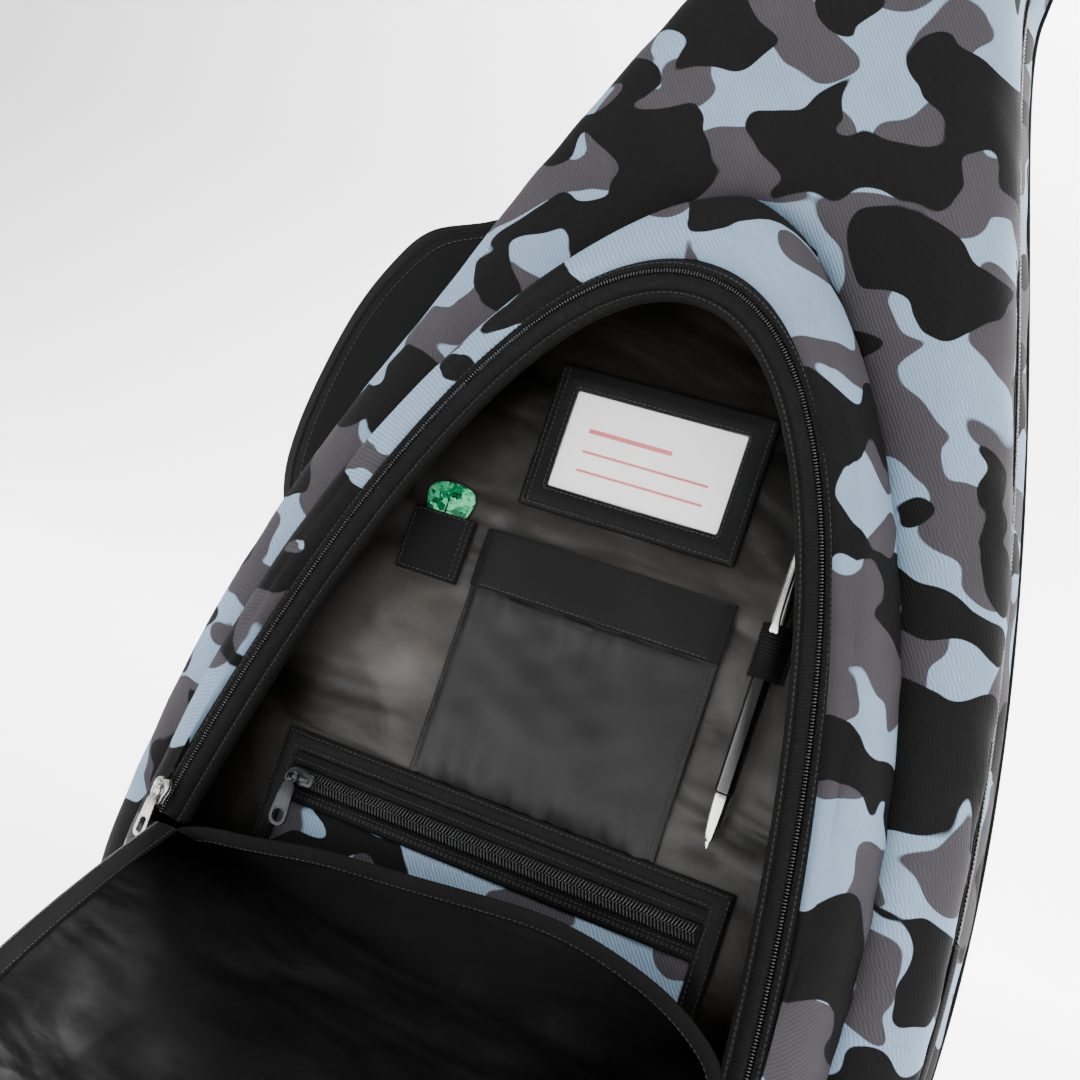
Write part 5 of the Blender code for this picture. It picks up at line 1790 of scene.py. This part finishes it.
def make_door():
    """The padded door: printed outside, black lining, bound edge and zip coil."""
    ring = door_ring(0.0030)
    flat, faces = filled([ring], DOOR_CLOTH_STEP)
    from_edge = distance_to(flat, ring)
    puff = 0.0030 * (1 - np.exp(-from_edge / 0.010))
    waves = ripple(flat, 0.10, 81) * 0.0012 + ripple(flat, 0.035, 82) * 0.0004
    y = DOOR_OUTSIDE_Y + 0.0024 - puff - waves * np.clip(from_edge / 0.02, 0, 1)
    cover = build("door_cover", in_space(flat, y), faces)
    face_outwards(cover, OUT)
    dress(on_door(cover), "camo_door", "door", "camo_fabric", "door_panel")

    ring = door_ring(0.0060)
    flat, faces = filled([ring], DOOR_CLOTH_STEP)
    from_edge = distance_to(flat, ring)
    free = np.clip(from_edge / 0.022, 0, 1) * np.clip((flat[:, 1] - DOOR_LOW_Z - 0.006) / 0.03, 0, 1)
    folds = np.abs(ripple(flat * (1.0, 0.45), 0.075, 83)) * 0.0042 + ripple(flat, 0.028, 84) * 0.0007
    lining = build("door_inside", in_space(flat, DOOR_INSIDE_Y + folds * free), faces)
    face_outwards(lining, (0, 1, 0))
    dress(on_door(lining), "door_satin_painted_shade", "door", "satin_lining", "door_lining")
    make_door_edge()


def make_door_edge():
    """The binding round the door's arched edge, with its stitches and zip coil."""
    edge = arch(0.0010)
    path = in_space(resampled(edge[edge[:, 1] >= DOOR_LOW_Z], 0.0025), RIM_Y - 0.0037)
    side = inward_of(path)
    section = [(0.0098, -0.0006), (0.0062, -0.0011), (0.0012, -0.0010), (-0.0006, -0.0004)]
    section += [(-0.0011, 0.0008), (-0.0006, 0.0022), (0.0010, 0.0029), (0.0052, 0.0033)]
    section += [(0.0060, 0.0025), (0.0014, 0.0020), (0.0004, 0.0008), (0.0014, 0.0), (0.0096, 0.0002)]
    binding = sweep("door_edge_binding", path, side, OUT, section)
    dress(on_door(binding), "binding", "door", "black_webbing", "door_binding")
    for name, distance, level in (("inside", 0.0080, -0.0011), ("outside", 0.0046, 0.0034)):
        line_at = (path + side * distance + OUT * level, OUT * np.sign(level))
        sew(f"door_stitches_{name}", [line_at], RIM_STITCH, body="door", turn=on_door)
    teeth = tooth_row("door_coil", path - side * 0.0016 + OUT * 0.0002, 0.0016)
    dress(on_door(teeth), "zip_coil_bright", "door", "zip_coil", "door_teeth")


def strip(name, start, control, end, rows):
    """Cloth from one line of points to another, curved towards the control line."""
    t = np.linspace(0, 1, rows)[:, None, None]
    points = start * (1 - t) ** 2 + 2 * control * t * (1 - t) + end * t * t
    across = run_lengths(points[:, points.shape[1] // 2])
    cloth = cloth_grid(points.shape, run_lengths(start)[None, :], across[:, None])
    return build(name, points.reshape(-1, 3), grid_faces(*points.shape[:2]), cloth)


DOOR_HALF_WIDTH = 0.1475
LIP_TOP = [(-DOOR_HALF_WIDTH, 0.156), (-0.140, 0.162), (-0.126, 0.1680), (-0.108, 0.1725)]
LIP_TOP += [(-0.060, 0.1830), (0.0, 0.1945), (0.053, 0.2010), (0.100, 0.1965), (0.132, 0.183)]
LIP_TOP += [(DOOR_HALF_WIDTH, 0.166)]


def level_line(x, y, z):
    """Points at each x, all at one y and one z."""
    return np.column_stack((x, np.full(len(x), y), np.full(len(x), z)))


def make_door_hinge():
    """The bound lip along the door's lower edge, and the cloth that joins the door to it."""
    top = smooth_line(LIP_TOP, 0.0028)
    sag = ripple(top[:, :1], 0.09, 86) * 0.0008
    line_at = in_space(top + np.column_stack((np.zeros(len(top)), sag)), RIM_Y + 0.0012)
    base = level_line(line_at[:, 0], RIM_Y + 0.0004, HINGE_Z - 0.010)
    behind = base + (0.0, 0.0052, 0.002)
    front = strip("hinge_lip_front", base, (base + line_at) / 2 - (0, 0.0014, 0), line_at, 10)
    back = strip("hinge_lip_back", line_at, (behind + line_at) / 2, behind, 10)
    lip = merged(front, back)
    lip.name = "hinge_lip"
    face_outwards(lip, OUT)
    dress(lip, "door_satin_painted_shade", "lid", "satin_lining")

    down = np.cross(tangents(line_at), OUT)
    down *= -np.sign(down[:, 2:3] + 1e-9)
    section = [(-0.0014, 0.0), (-0.0011, 0.0012), (0.0, 0.0019), (0.0050, 0.0021), (0.0066, 0.0015)]
    section += [(0.0066, -0.0012), (0.0050, -0.0018), (0.0, -0.0017), (-0.0011, -0.0011)]
    binding = sweep("hinge_lip_binding", line_at, down, OUT, section)
    dress(binding, "binding", "lid", "black_webbing", "door_hinge_binding")
    front_row = line_at + down * 0.0052 + OUT * 0.0022
    back_row = line_at + down * 0.0040 - OUT * 0.0019
    sew("hinge_lip_stitches", [(front_row, OUT), (back_row, -OUT)], RIM_STITCH)
    make_door_fold(line_at, line_at + down * 0.0046 + OUT * 0.0016)
    make_hinge_tape()


def make_door_fold(lip_edge, start):
    """The lining's fold, from behind the bound lip to the inside of the door."""
    x = lip_edge[:, 0] * FOLD_TAPER
    end = hung_open(level_line(x, DOOR_INSIDE_Y - 0.0012, DOOR_LOW_Z + 0.024))
    wave = ripple(lip_edge[:, :1], 0.05, 87)[:, None] * np.array((0.0, -0.0012, 0.0016))
    control = np.column_stack((x, start[:, 1] - 0.0040, start[:, 2] * 0.25 + end[:, 2] * 0.75))
    fold = strip("door_fold", start, control + wave, end, 26)
    face_outwards(fold, (0, -1, 1))
    solid(fold, 0.0005)
    dress(fold, "door_satin_painted_shade", None, "satin_lining")
    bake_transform(fold)


def make_hinge_tape():
    """The outer band that joins the door to the pocket."""
    x = np.linspace(-DOOR_HALF_WIDTH, DOOR_HALF_WIDTH, 90)
    under = level_line(x, RIM_Y - 0.0010, HINGE_Z - 0.0125)
    over = hung_open(level_line(x, DOOR_OUTSIDE_Y - 0.0002, DOOR_LOW_Z + 0.0075))
    bend = (under + over) / 2 + (0.0, -0.0022, -0.0030)
    joint = strip("door_hinge_tape", under, bend, over, 16)
    face_outwards(joint, (0, -1, -1))
    solid(joint, 0.0008)
    dress(joint, "binding", None, "black_webbing")
    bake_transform(joint)


# ---------------------------------------------------------------- carrying gear


def flat_section(half, thickness, edge, steps):
    """A strap's section: soft faces that thin out to rounded edges."""
    t = np.linspace(-1, 1, steps * 2 + 1)
    bulge = edge + (thickness / 2 - edge) * (1 - np.abs(t) ** 4)
    top = np.column_stack((half * t, bulge))
    end = half + edge * 0.8
    return np.vstack((top, [(end, 0.0)], top[::-1] * (1, -1), [(-end, 0.0)]))


def ribbon(name, path, side, width, thickness, look, body, slot, *nodes, edge=0.0004):
    """A webbing strap along a path, as wide as given along the side direction."""
    up = np.cross(np.broadcast_to(side, path.shape), tangents(path))
    obj = sweep(name, path, side, up, flat_section(width / 2, thickness, edge, 4))
    return dress(obj, look, body, slot, *nodes)


# The right strap hangs in a plane that is turned by the splay: (out, down from its top)
STRAP_TOP = np.array((0.036, 0.0, 0.592))
STRAP_SPLAY = math.atan(0.089 / 0.47)
BOW = [(0.0610, 0.000), (0.080, -0.035), (0.096, -0.090), (0.104, -0.160), (0.100, -0.230)]
BOW += [(0.0895, -0.290)]
BOW_WEB = np.array(((0.0888, -0.2945), (0.0545, -0.4600)))

# The left strap's two edges, (x, z), and its webbing's ends
LEFT_OUTER = [(-0.050, 0.630), (-0.098, 0.588), (-0.148, 0.540), (-0.186, 0.515), (-0.220, 0.498)]
LEFT_OUTER += [(-0.237, 0.472), (-0.248, 0.440), (-0.2535, 0.400), (-0.2538, 0.362), (-0.248, 0.334)]
LEFT_OUTER += [(-0.232, 0.306), (-0.208, 0.273)]
LEFT_INNER = [(-0.026, 0.594), (-0.066, 0.541), (-0.112, 0.500), (-0.150, 0.472), (-0.180, 0.447)]
LEFT_INNER += [(-0.196, 0.415), (-0.200, 0.380), (-0.197, 0.350), (-0.186, 0.320), (-0.170, 0.291)]
LEFT_Y = 0.0650
LEFT_STEPS = 120
STRAP_THICK = 0.0088
LEFT_WEB = np.array(((-0.1890, 0.0650, 0.2810), (-0.1270, 0.0562, 0.1462)))


def back_rows(paths, y):
    """Lines for stitches on the bag's back, from (x, z) paths."""
    return [(in_space(np.array(path), y), -OUT) for path in paths]


def make_yoke():
    """The patch across the back into which both straps are sewn."""
    back = BACK_Y
    levels = ((0.0003, back + 0.0003), (0.0, back + 0.0010), (0.0004, back + 0.0030))
    levels += ((0.0020, back + 0.0035), (0.0034, back + 0.0031), (0.0050, back + 0.0034))
    ring = patch_ring(-0.064, 0.064, 0.585, 0.640, 0.006, 20, 5)
    dress(stack("yoke_patch", ring, levels), "webbing_flat", "back", "black_webbing", "strap_yoke")
    near = patch_ring(-0.0605, 0.0605, 0.5885, 0.6365, 0.004)
    half, low, high = 0.058, 0.590, 0.635
    crosses = [[(-half, low), (half, high)], [(-half, high), (half, low)]]
    lines = back_rows([closed_line(near)], back + 0.0034) + back_rows(crosses, back + 0.0037)
    sew("yoke_stitches", lines, 0.0032, HEAVY_THREAD, "back")


def spread(points, count):
    """The smooth line through the points as a number of evenly spaced ones."""
    fine = smooth_line(points, 0.0005)
    return fine[np.linspace(0, len(fine) - 1, count).round().astype(int)]


def make_padded_strap(side, path, across, out, half, thick, look):
    """A padded strap with bound edges and a quilting line beside each of them."""
    pad = sweep(f"shoulder_pad_{side}", path, across, out, flat_section(1.0, 2.0, 0.3, 9))
    points = places(pad).reshape(len(path), -1, 3) - path[:, None]
    sideways = (points * across[:, None]).sum(-1, keepdims=True) * half[:, None, None]
    level = (points * out[:, None]).sum(-1, keepdims=True) * thick[:, None, None] / 2
    run = run_lengths(path)
    level += band_ripple(run * 0.3, 0.0, 0.05, 95)[:, None, None] * 0.0007
    points = path[:, None] + across[:, None] * sideways + out[:, None] * level
    place(pad, points.reshape(-1, 3))
    along = np.broadcast_to(run[:, None, None], level.shape)
    keep(pad, "cloth", np.concatenate((along, sideways, level), axis=2).reshape(-1, 3))
    keep(pad, "rest", places(pad))
    dress(pad, look, "back", "black_fabric", f"shoulder_strap_{side}")
    cord = patch_ring(-0.0018, 0.0018, -0.0019, 0.0019, 0.0016, 2, 4)
    rows = []
    for number, edge in enumerate((-1, 1)):
        rim = path + across * (edge * half)[:, None]
        bound = sweep(f"shoulder_binding_{side}_{number}", rim, across, out, cord)
        dress(bound, "binding", "back", "black_webbing")
        quilted = rim - across * edge * 0.0068
        for face in (1, -1):
            rows.append((quilted + out * face * thick[:, None] * 0.43, out * face))
    sew(f"shoulder_stitches_{side}", rows, 0.0034, 0.0006, "back")


WEB_WIDTH = 0.025
# The webbing's loose tail: (how far down from its start, how far out)
TAIL = ((0.030, 0.0022), (0.050, 0.0050), (0.090, 0.0040), (0.130, 0.0020))


def make_web(side, ends, across, out):
    """Webbing from a padded strap down to its tab, its loose tail and its buckle."""
    start, end = ends
    name, node = f"strap_web_{side}", f"strap_webbing_{side}"
    look = ("webbing", "back", "black_webbing")
    ribbon(name, resampled(np.array(ends), 0.004), across, WEB_WIDTH, 0.0016, *look, node)
    along = unit(end - start)
    tail = smooth_line([start + along * reach + out * lift for reach, lift in TAIL], 0.004)
    ribbon(f"strap_tail_{side}", tail, across, WEB_WIDTH, 0.0014, *look)
    node = f"strap_adjuster_{side}"
    node_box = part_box(node)
    centre = (np.array(node_box[0]) + np.array(node_box[1])) / 2
    make_adjuster(f"adjuster_buckle_{side}", centre, across, along, f"adjuster_{side}", node)


def make_right_strap():
    """The strap that hangs in a bow behind the bag."""
    across = np.array((math.cos(STRAP_SPLAY), 0.0, math.sin(STRAP_SPLAY)))
    down = np.array((-math.sin(STRAP_SPLAY), 0.0, math.cos(STRAP_SPLAY)))

    def from_plane(points):
        points = np.asarray(points, float)
        return STRAP_TOP + np.outer(points[:, 0], (0, 1, 0)) + np.outer(points[:, 1], down)

    path = from_plane(smooth_line([(0.0545, 0.0130), *BOW], 0.0035))
    run = run_lengths(path)
    out = np.cross(across, tangents(path))
    out *= np.sign(out[:, 1:2] + 0.2)
    sides = np.broadcast_to(across, path.shape)
    narrow = 1 - 0.42 * np.exp(-run / 0.012) - 0.40 * np.exp(-(run[-1] - run) / 0.010)
    half, thick = narrow * 0.0272, narrow * STRAP_THICK
    make_padded_strap("right", path, sides, out, half, thick, "black_fabric")
    make_web("right", from_plane(BOW_WEB), across, -OUT)


def make_left_strap():
    """The strap that has swung out flat past the bag's left edge."""
    outer, inner = spread(LEFT_OUTER, LEFT_STEPS), spread(LEFT_INNER, LEFT_STEPS)
    middle = (outer + inner) / 2
    t = np.linspace(0, 1, LEFT_STEPS)
    path = in_space(middle, LEFT_Y - 0.0080 * np.exp(-((t / 0.07) ** 2)))
    width = np.linalg.norm(inner - outer, axis=1)
    across = in_space((inner - outer) / width[:, None], 0.0)
    out = np.broadcast_to(-OUT, path.shape)
    thick = STRAP_THICK * (1 - 0.5 * np.exp(-t / 0.03) - 0.55 * np.exp(-(1 - t) / 0.03))
    half = width / 2 - 0.0016 - 0.004 * np.exp(-(1 - t) / 0.02)
    make_padded_strap("left", path, across, out, half, thick, "handle_cloth")
    along = LEFT_WEB[1] - LEFT_WEB[0]
    level = np.array((-along[2], 0.0, along[0])) / math.hypot(along[0], along[2])
    make_web("left", LEFT_WEB, level, -OUT)


def make_strap_tabs():
    """The patches low on the back into which the webbing is sewn."""
    back = BACK_Y
    levels = ((0.0, back + 0.0003), (0.0, back + 0.0013))
    levels += ((0.0006, back + 0.0019), (0.0016, back + 0.0018))
    for name, middle in (("left", -0.125), ("right", 0.125)):
        corners = [(-0.024, 0.098), (0.024, 0.098), (0.018, 0.145), (-0.018, 0.145)]
        tab = resampled(np.array([(middle + x, z) for x, z in corners]), 0.003, closed=True)
        piece = stack(f"strap_tab_patch_{name}", tab, levels)
        dress(piece, "webbing_flat", "back", "black_webbing", f"strap_tab_{name}")
        lines = back_rows([closed_line(moved_in(tab, 0.0035))], back + 0.0020)
        for side in (1, -1):
            cross = [(middle - side * 0.019, 0.103), (middle + side * 0.014, 0.140)]
            lines += back_rows([cross], back + 0.0021)
        sew(f"strap_tab_stitches_{name}", lines, 0.0030, HEAVY_THREAD, "back")


def make_adjuster(name, centre, across, along, body, node):
    """A ladder-lock buckle: a frame with side rails, three bars and a lifting lip."""
    out = np.cross(across, along)
    if out[1] < 0:
        out = -out
    outer = patch_ring(-0.0168, 0.0168, -0.0098, 0.0098, 0.0032, 6, 5)
    inner = patch_ring(-0.0136, 0.0136, -0.0070, 0.0070, 0.0012, 6, 5)
    levels = ((0.0, -0.0018), (0.0, 0.0018), (0.25, 0.0028), (0.75, 0.0028), (1.0, 0.0018))
    levels += ((1.0, -0.0018), (0.75, -0.0028), (0.25, -0.0028))
    shell = looped(name, between_rings(outer, inner, levels))
    bars = []
    for z, y, half in ((-0.0030, 0.0020, 0.0013), (0.0030, 0.0020, 0.0013), (0.0088, 0.0030, 0.0022)):
        spine = level_line(np.linspace(-0.0145, 0.0145, 9), y, z)
        section = patch_ring(-half, half, -0.0011, 0.0011, 0.0007, 2, 3)
        bars.append(sweep(f"{name}_bar", spine, UP, OUT, section))
    whole = merged(shell, *bars)
    points = places(whole)
    axes = np.stack((across, out, along))
    place(whole, points @ axes + centre)
    settle_normals(whole)
    sharpen(whole, 40)
    keep(whole, "rest", places(whole))
    dress(whole, "plastic", body, "black_plastic", node)


def make_hang_loop():
    """The webbing loop at the top of the back, with its two sewn feet."""
    route = [(BACK_Y + 0.0012, 1.0125), (BACK_Y + 0.0090, 1.0125), (BACK_Y + 0.0160, 1.0090)]
    route += [(BACK_Y + 0.0195, 0.996), (BACK_Y + 0.0160, 0.983), (BACK_Y + 0.0090, 0.9800)]
    route += [(BACK_Y + 0.0012, 0.980)]
    curve = smooth_line(route, 0.0015)
    path = np.column_stack((np.zeros(len(curve)), curve))
    look = ("webbing", "back", "black_webbing", "hang_loop")
    ribbon("top_hang_loop", path, np.array((1.0, 0, 0)), WEB_WIDTH, 0.0019, *look)
    for number, z in enumerate((1.0135, 0.979)):
        ring = patch_ring(-0.0125, 0.0125, z - 0.0035, z + 0.0035, 0.001, 8, 3)
        levels = ((0.0, BACK_Y + 0.0004), (0.0, BACK_Y + 0.0018), (0.0008, BACK_Y + 0.0024))
        foot = stack(f"hang_loop_foot_{number}", ring, levels)
        dress(foot, "webbing_flat", "back", "black_webbing")
        rows = [[(-0.011, z + d), (0.011, z + d)] for d in (-0.0015, 0.0015)]
        lines = back_rows(rows, BACK_Y + 0.0025)
        sew(f"hang_loop_stitches_{number}", lines, 0.0022, 0.0006, "back")


PAD_HALF_WIDTH = 0.076
QUILT_HEIGHTS = (0.190, 0.280, 0.370, 0.460)


def quilt_line(z, x):
    """The height of a bowed quilting line over x."""
    return z + 0.018 * (1 - (x / PAD_HALF_WIDTH) ** 2)


def make_back_pad():
    """The quilted spacer-mesh pad against the player's back."""
    ring = patch_ring(-PAD_HALF_WIDTH, PAD_HALF_WIDTH, 0.100, 0.545, 0.035, 10, 12)
    ring = resampled(ring, 0.004, closed=True)
    flat, faces = filled([ring], 0.0036)
    from_edge = distance_to(flat, ring)
    crown = 0.0088 * (1 - np.exp(-from_edge / 0.009))
    for z in QUILT_HEIGHTS:
        away = flat[:, 1] - quilt_line(z, flat[:, 0])
        crown -= 0.0052 * np.exp(-((away / 0.0050) ** 2)) * np.clip(from_edge / 0.006, 0, 1)
    crown += ripple(flat, 0.06, 97) * 0.0004 * np.clip(from_edge / 0.01, 0, 1)
    pad = build("back_cushion", in_space(flat, BACK_Y + 0.0008 + crown), faces)
    face_outwards(pad, (0, 1, 0))
    dress(pad, "air_mesh", "back", "air_mesh", "back_pad")
    edge = in_space(moved_in(ring, 0.0004), BACK_Y + 0.0016)
    dress(round_cord("back_cushion_piping", edge, 0.0021), "piping", "back", "black_webbing")
    x = np.linspace(-0.070, 0.070, 60)
    rows = [np.column_stack((x, quilt_line(z, x))) for z in QUILT_HEIGHTS]
    lines = back_rows(rows, BACK_Y + 0.0056)
    sew("back_cushion_stitches", lines, 0.0036, HEAVY_THREAD, "back")


GROOVE_RADIUS = 0.0285
HOOK_STRAP_Z = 0.740


def make_neck_support():
    """The plush cradle for the guitar's neck with its hook strap, and the end pad."""
    low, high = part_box("neck_cradle")
    x = np.linspace(low.x, high.x, 60)
    floor = high.y - 0.0008
    depth = np.sqrt(np.maximum(GROOVE_RADIUS**2 - x**2, 0))
    top_y = low.y + 0.0006
    profile = np.maximum(top_y, np.where(np.abs(x) < GROOVE_RADIUS, depth, top_y))
    shoulder = 0.0035 * np.clip((np.abs(x) - (high.x - 0.006)) / 0.006, 0, 1) ** 2
    rings = []
    for t in np.linspace(0, 1, 24):
        z = low.z + (high.z - low.z) * t
        end = 0.0040 * np.exp(-min(t, 1 - t) / 0.05)
        face = level_line(x, np.minimum(profile + shoulder + end, floor - 0.0004), z)
        rings.append(np.vstack((face, level_line(x[::-1], floor, z))))
    cradle = closed_solid("neck_cradle_pad", np.array(rings), sharp=50)
    place(cradle, places(cradle) + normals(cradle) * (ripple(places(cradle), 0.03, 98) * 0.0004)[:, None])
    dress(cradle, "plush", "back", "plush_lining", "neck_cradle")
    make_hook_strap()
    make_end_cushion()


def make_hook_strap():
    """The strap that holds the guitar's neck down in its cradle."""
    route = [(-0.0468, 0.0030), (-0.0455, -0.0020), (-0.0425, -0.0052), (-0.030, -0.0060), (0.0, -0.0064)]
    route += [(-a, b) for a, b in route[3::-1]]
    curve = smooth_line(route, 0.0020)
    path = level_ring(curve, HOOK_STRAP_Z)
    look = ("webbing", "back", "black_webbing", "neck_strap")
    ribbon("neck_hook_strap", path, UP, 0.038, 0.0016, *look)
    up = np.broadcast_to(OUT, path.shape)
    rows = [(path + UP * d + OUT * 0.0009, up) for d in (-0.0165, 0.0165)]
    sew("neck_strap_stitches", rows, 0.0030, 0.0005, "back")


def make_end_cushion():
    """The plush pad at the bag's bottom, under the guitar's end."""
    low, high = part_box("end_pad")
    ring = resampled(patch_ring(low.x, high.x, low.y, high.y, 0.006, 12, 6), 0.003, closed=True)
    levels = ((0.0020, low.z), (0.0004, low.z + 0.002), (0.0, low.z + 0.007), (0.0006, high.z - 0.004))
    levels += ((0.0024, high.z - 0.0012), (0.0060, high.z), (0.0110, high.z + 0.0003))
    pad = stack("end_cushion", ring, levels, level_ring)
    dress(pad, "plush", "back", "plush_lining", "end_pad")


# ---------------------------------------------------------------- stage, camera, lights

# The camera's direction from its target, its roll, distance and lens
VIEW_AZIMUTH = math.radians(23.234)
VIEW_ELEVATION = math.radians(-1.482)
VIEW_ROLL = math.radians(22.362)
VIEW_DISTANCE = 0.8117
VIEW_TARGET = Vector((-0.0379, -0.0520, 0.3544))
VIEW_LENS = 57.33


def direction(azimuth, elevation):
    """The way from the bag to an azimuth, seen from -Y, and an elevation, in radians."""
    flat = math.cos(elevation)
    return Vector((math.sin(azimuth) * flat, -math.cos(azimuth) * flat, math.sin(elevation)))


def view_axes():
    """(right, up, back) of the camera, rolled."""
    back = direction(VIEW_AZIMUTH, VIEW_ELEVATION)
    right = Vector((0, 0, 1)).cross(back).normalized()
    up = back.cross(right)
    turned = math.cos(VIEW_ROLL) * right + math.sin(VIEW_ROLL) * up
    return turned, back.cross(turned), back


def make_camera():
    """The camera, turned and placed by the view values."""
    right, up, back = view_axes()
    data = bpy.data.cameras.new("camera")
    data.lens = VIEW_LENS
    data.sensor_width = 36
    data.clip_start, data.clip_end = 0.02, 50
    camera = bpy.data.objects.new("camera", data)
    turn = Matrix((right, up, back)).transposed().to_4x4()
    camera.matrix_world = Matrix.Translation(VIEW_TARGET + back * VIEW_DISTANCE) @ turn
    bpy.context.scene.collection.objects.link(camera)
    bpy.context.scene.camera = camera


def make_floor():
    """A pale floor that curves up into a backdrop behind the bag."""
    front, bend, radius, height, half = -6.0, 2.6, 1.4, 5.0, 7.0
    profile = [(front, 0.0), (bend, 0.0)]
    for angle in np.linspace(0, math.pi / 2, 17)[1:]:
        profile.append((bend + radius * math.sin(angle), radius * (1 - math.cos(angle))))
    profile.append((bend + radius, height))
    rings = [[(x, y, z) for y, z in profile] for x in (-half, half)]
    floor = loft("floor", rings, closed=False)
    face_outwards(floor, (0, -1, 1))
    look = Look("pale_floor", 0.9)
    speck = look.noise(look.attribute("rest"), 60, 3.0)
    base = look.mix(speck, (0.86, 0.86, 0.86), (0.88, 0.88, 0.88))
    floor.data.materials.append(look.set(Base_Color=base))


BAG_MIDDLE = (0, -0.03, 0.42)
WORLD_COLOUR = (0.95, 0.97, 1.0, 1)
WORLD_STRENGTH = 0.50


def soft_light(name, azimuth, elevation, distance, size, power, target=BAG_MIDDLE):
    """A square soft box aimed at the bag."""
    back = direction(math.radians(azimuth), math.radians(elevation))
    data = bpy.data.lights.new(name, "AREA")
    data.shape = "RECTANGLE"
    data.size, data.size_y = size
    data.energy = power
    light = bpy.data.objects.new(name, data)
    light.location = Vector(target) + back * distance
    light.rotation_mode = "QUATERNION"
    light.rotation_quaternion = back.to_track_quat("Z", "Y")
    bpy.context.scene.collection.objects.link(light)


def make_lights():
    """An even pale world, four soft boxes round the bag and one over the backdrop."""
    world = bpy.data.worlds.new("studio")
    world.use_nodes = True
    background = world.node_tree.nodes["Background"]
    background.inputs["Color"].default_value = WORLD_COLOUR
    background.inputs["Strength"].default_value = WORLD_STRENGTH
    bpy.context.scene.world = world
    soft_light("key", 30, 60, 2.4, (1.0, 1.0), 70)
    soft_light("left_fill", -62, 22, 2.6, (1.4, 1.8), 20)
    soft_light("right_fill", 78, 10, 2.6, (1.4, 1.8), 12)
    soft_light("back_fill", 190, 35, 2.8, (2.0, 2.0), 40)
    soft_light("backdrop", 0, 80, 3.2, (4.0, 2.0), 1500, (0, 3.2, 1.4))


make_camera()
make_floor()
make_lights()
make_front_cover()
make_back_cover()
make_main_zip()
make_lid_hinge()
make_half_lining("back_lining", 1, "back", "back_foam")
make_half_lining("lid_lining", -1, "lid", "front_foam")
make_bumper()
make_pocket_wall()
make_organizer_lining()
make_rim()
make_id_holder()
make_phone_pocket()
make_pick_pocket()
make_pen()
make_zip_pocket()
make_sliders()
make_door()
make_door_hinge()
make_yoke()
make_left_strap()
make_right_strap()
make_strap_tabs()
make_hang_loop()
make_back_pad()
make_neck_support()
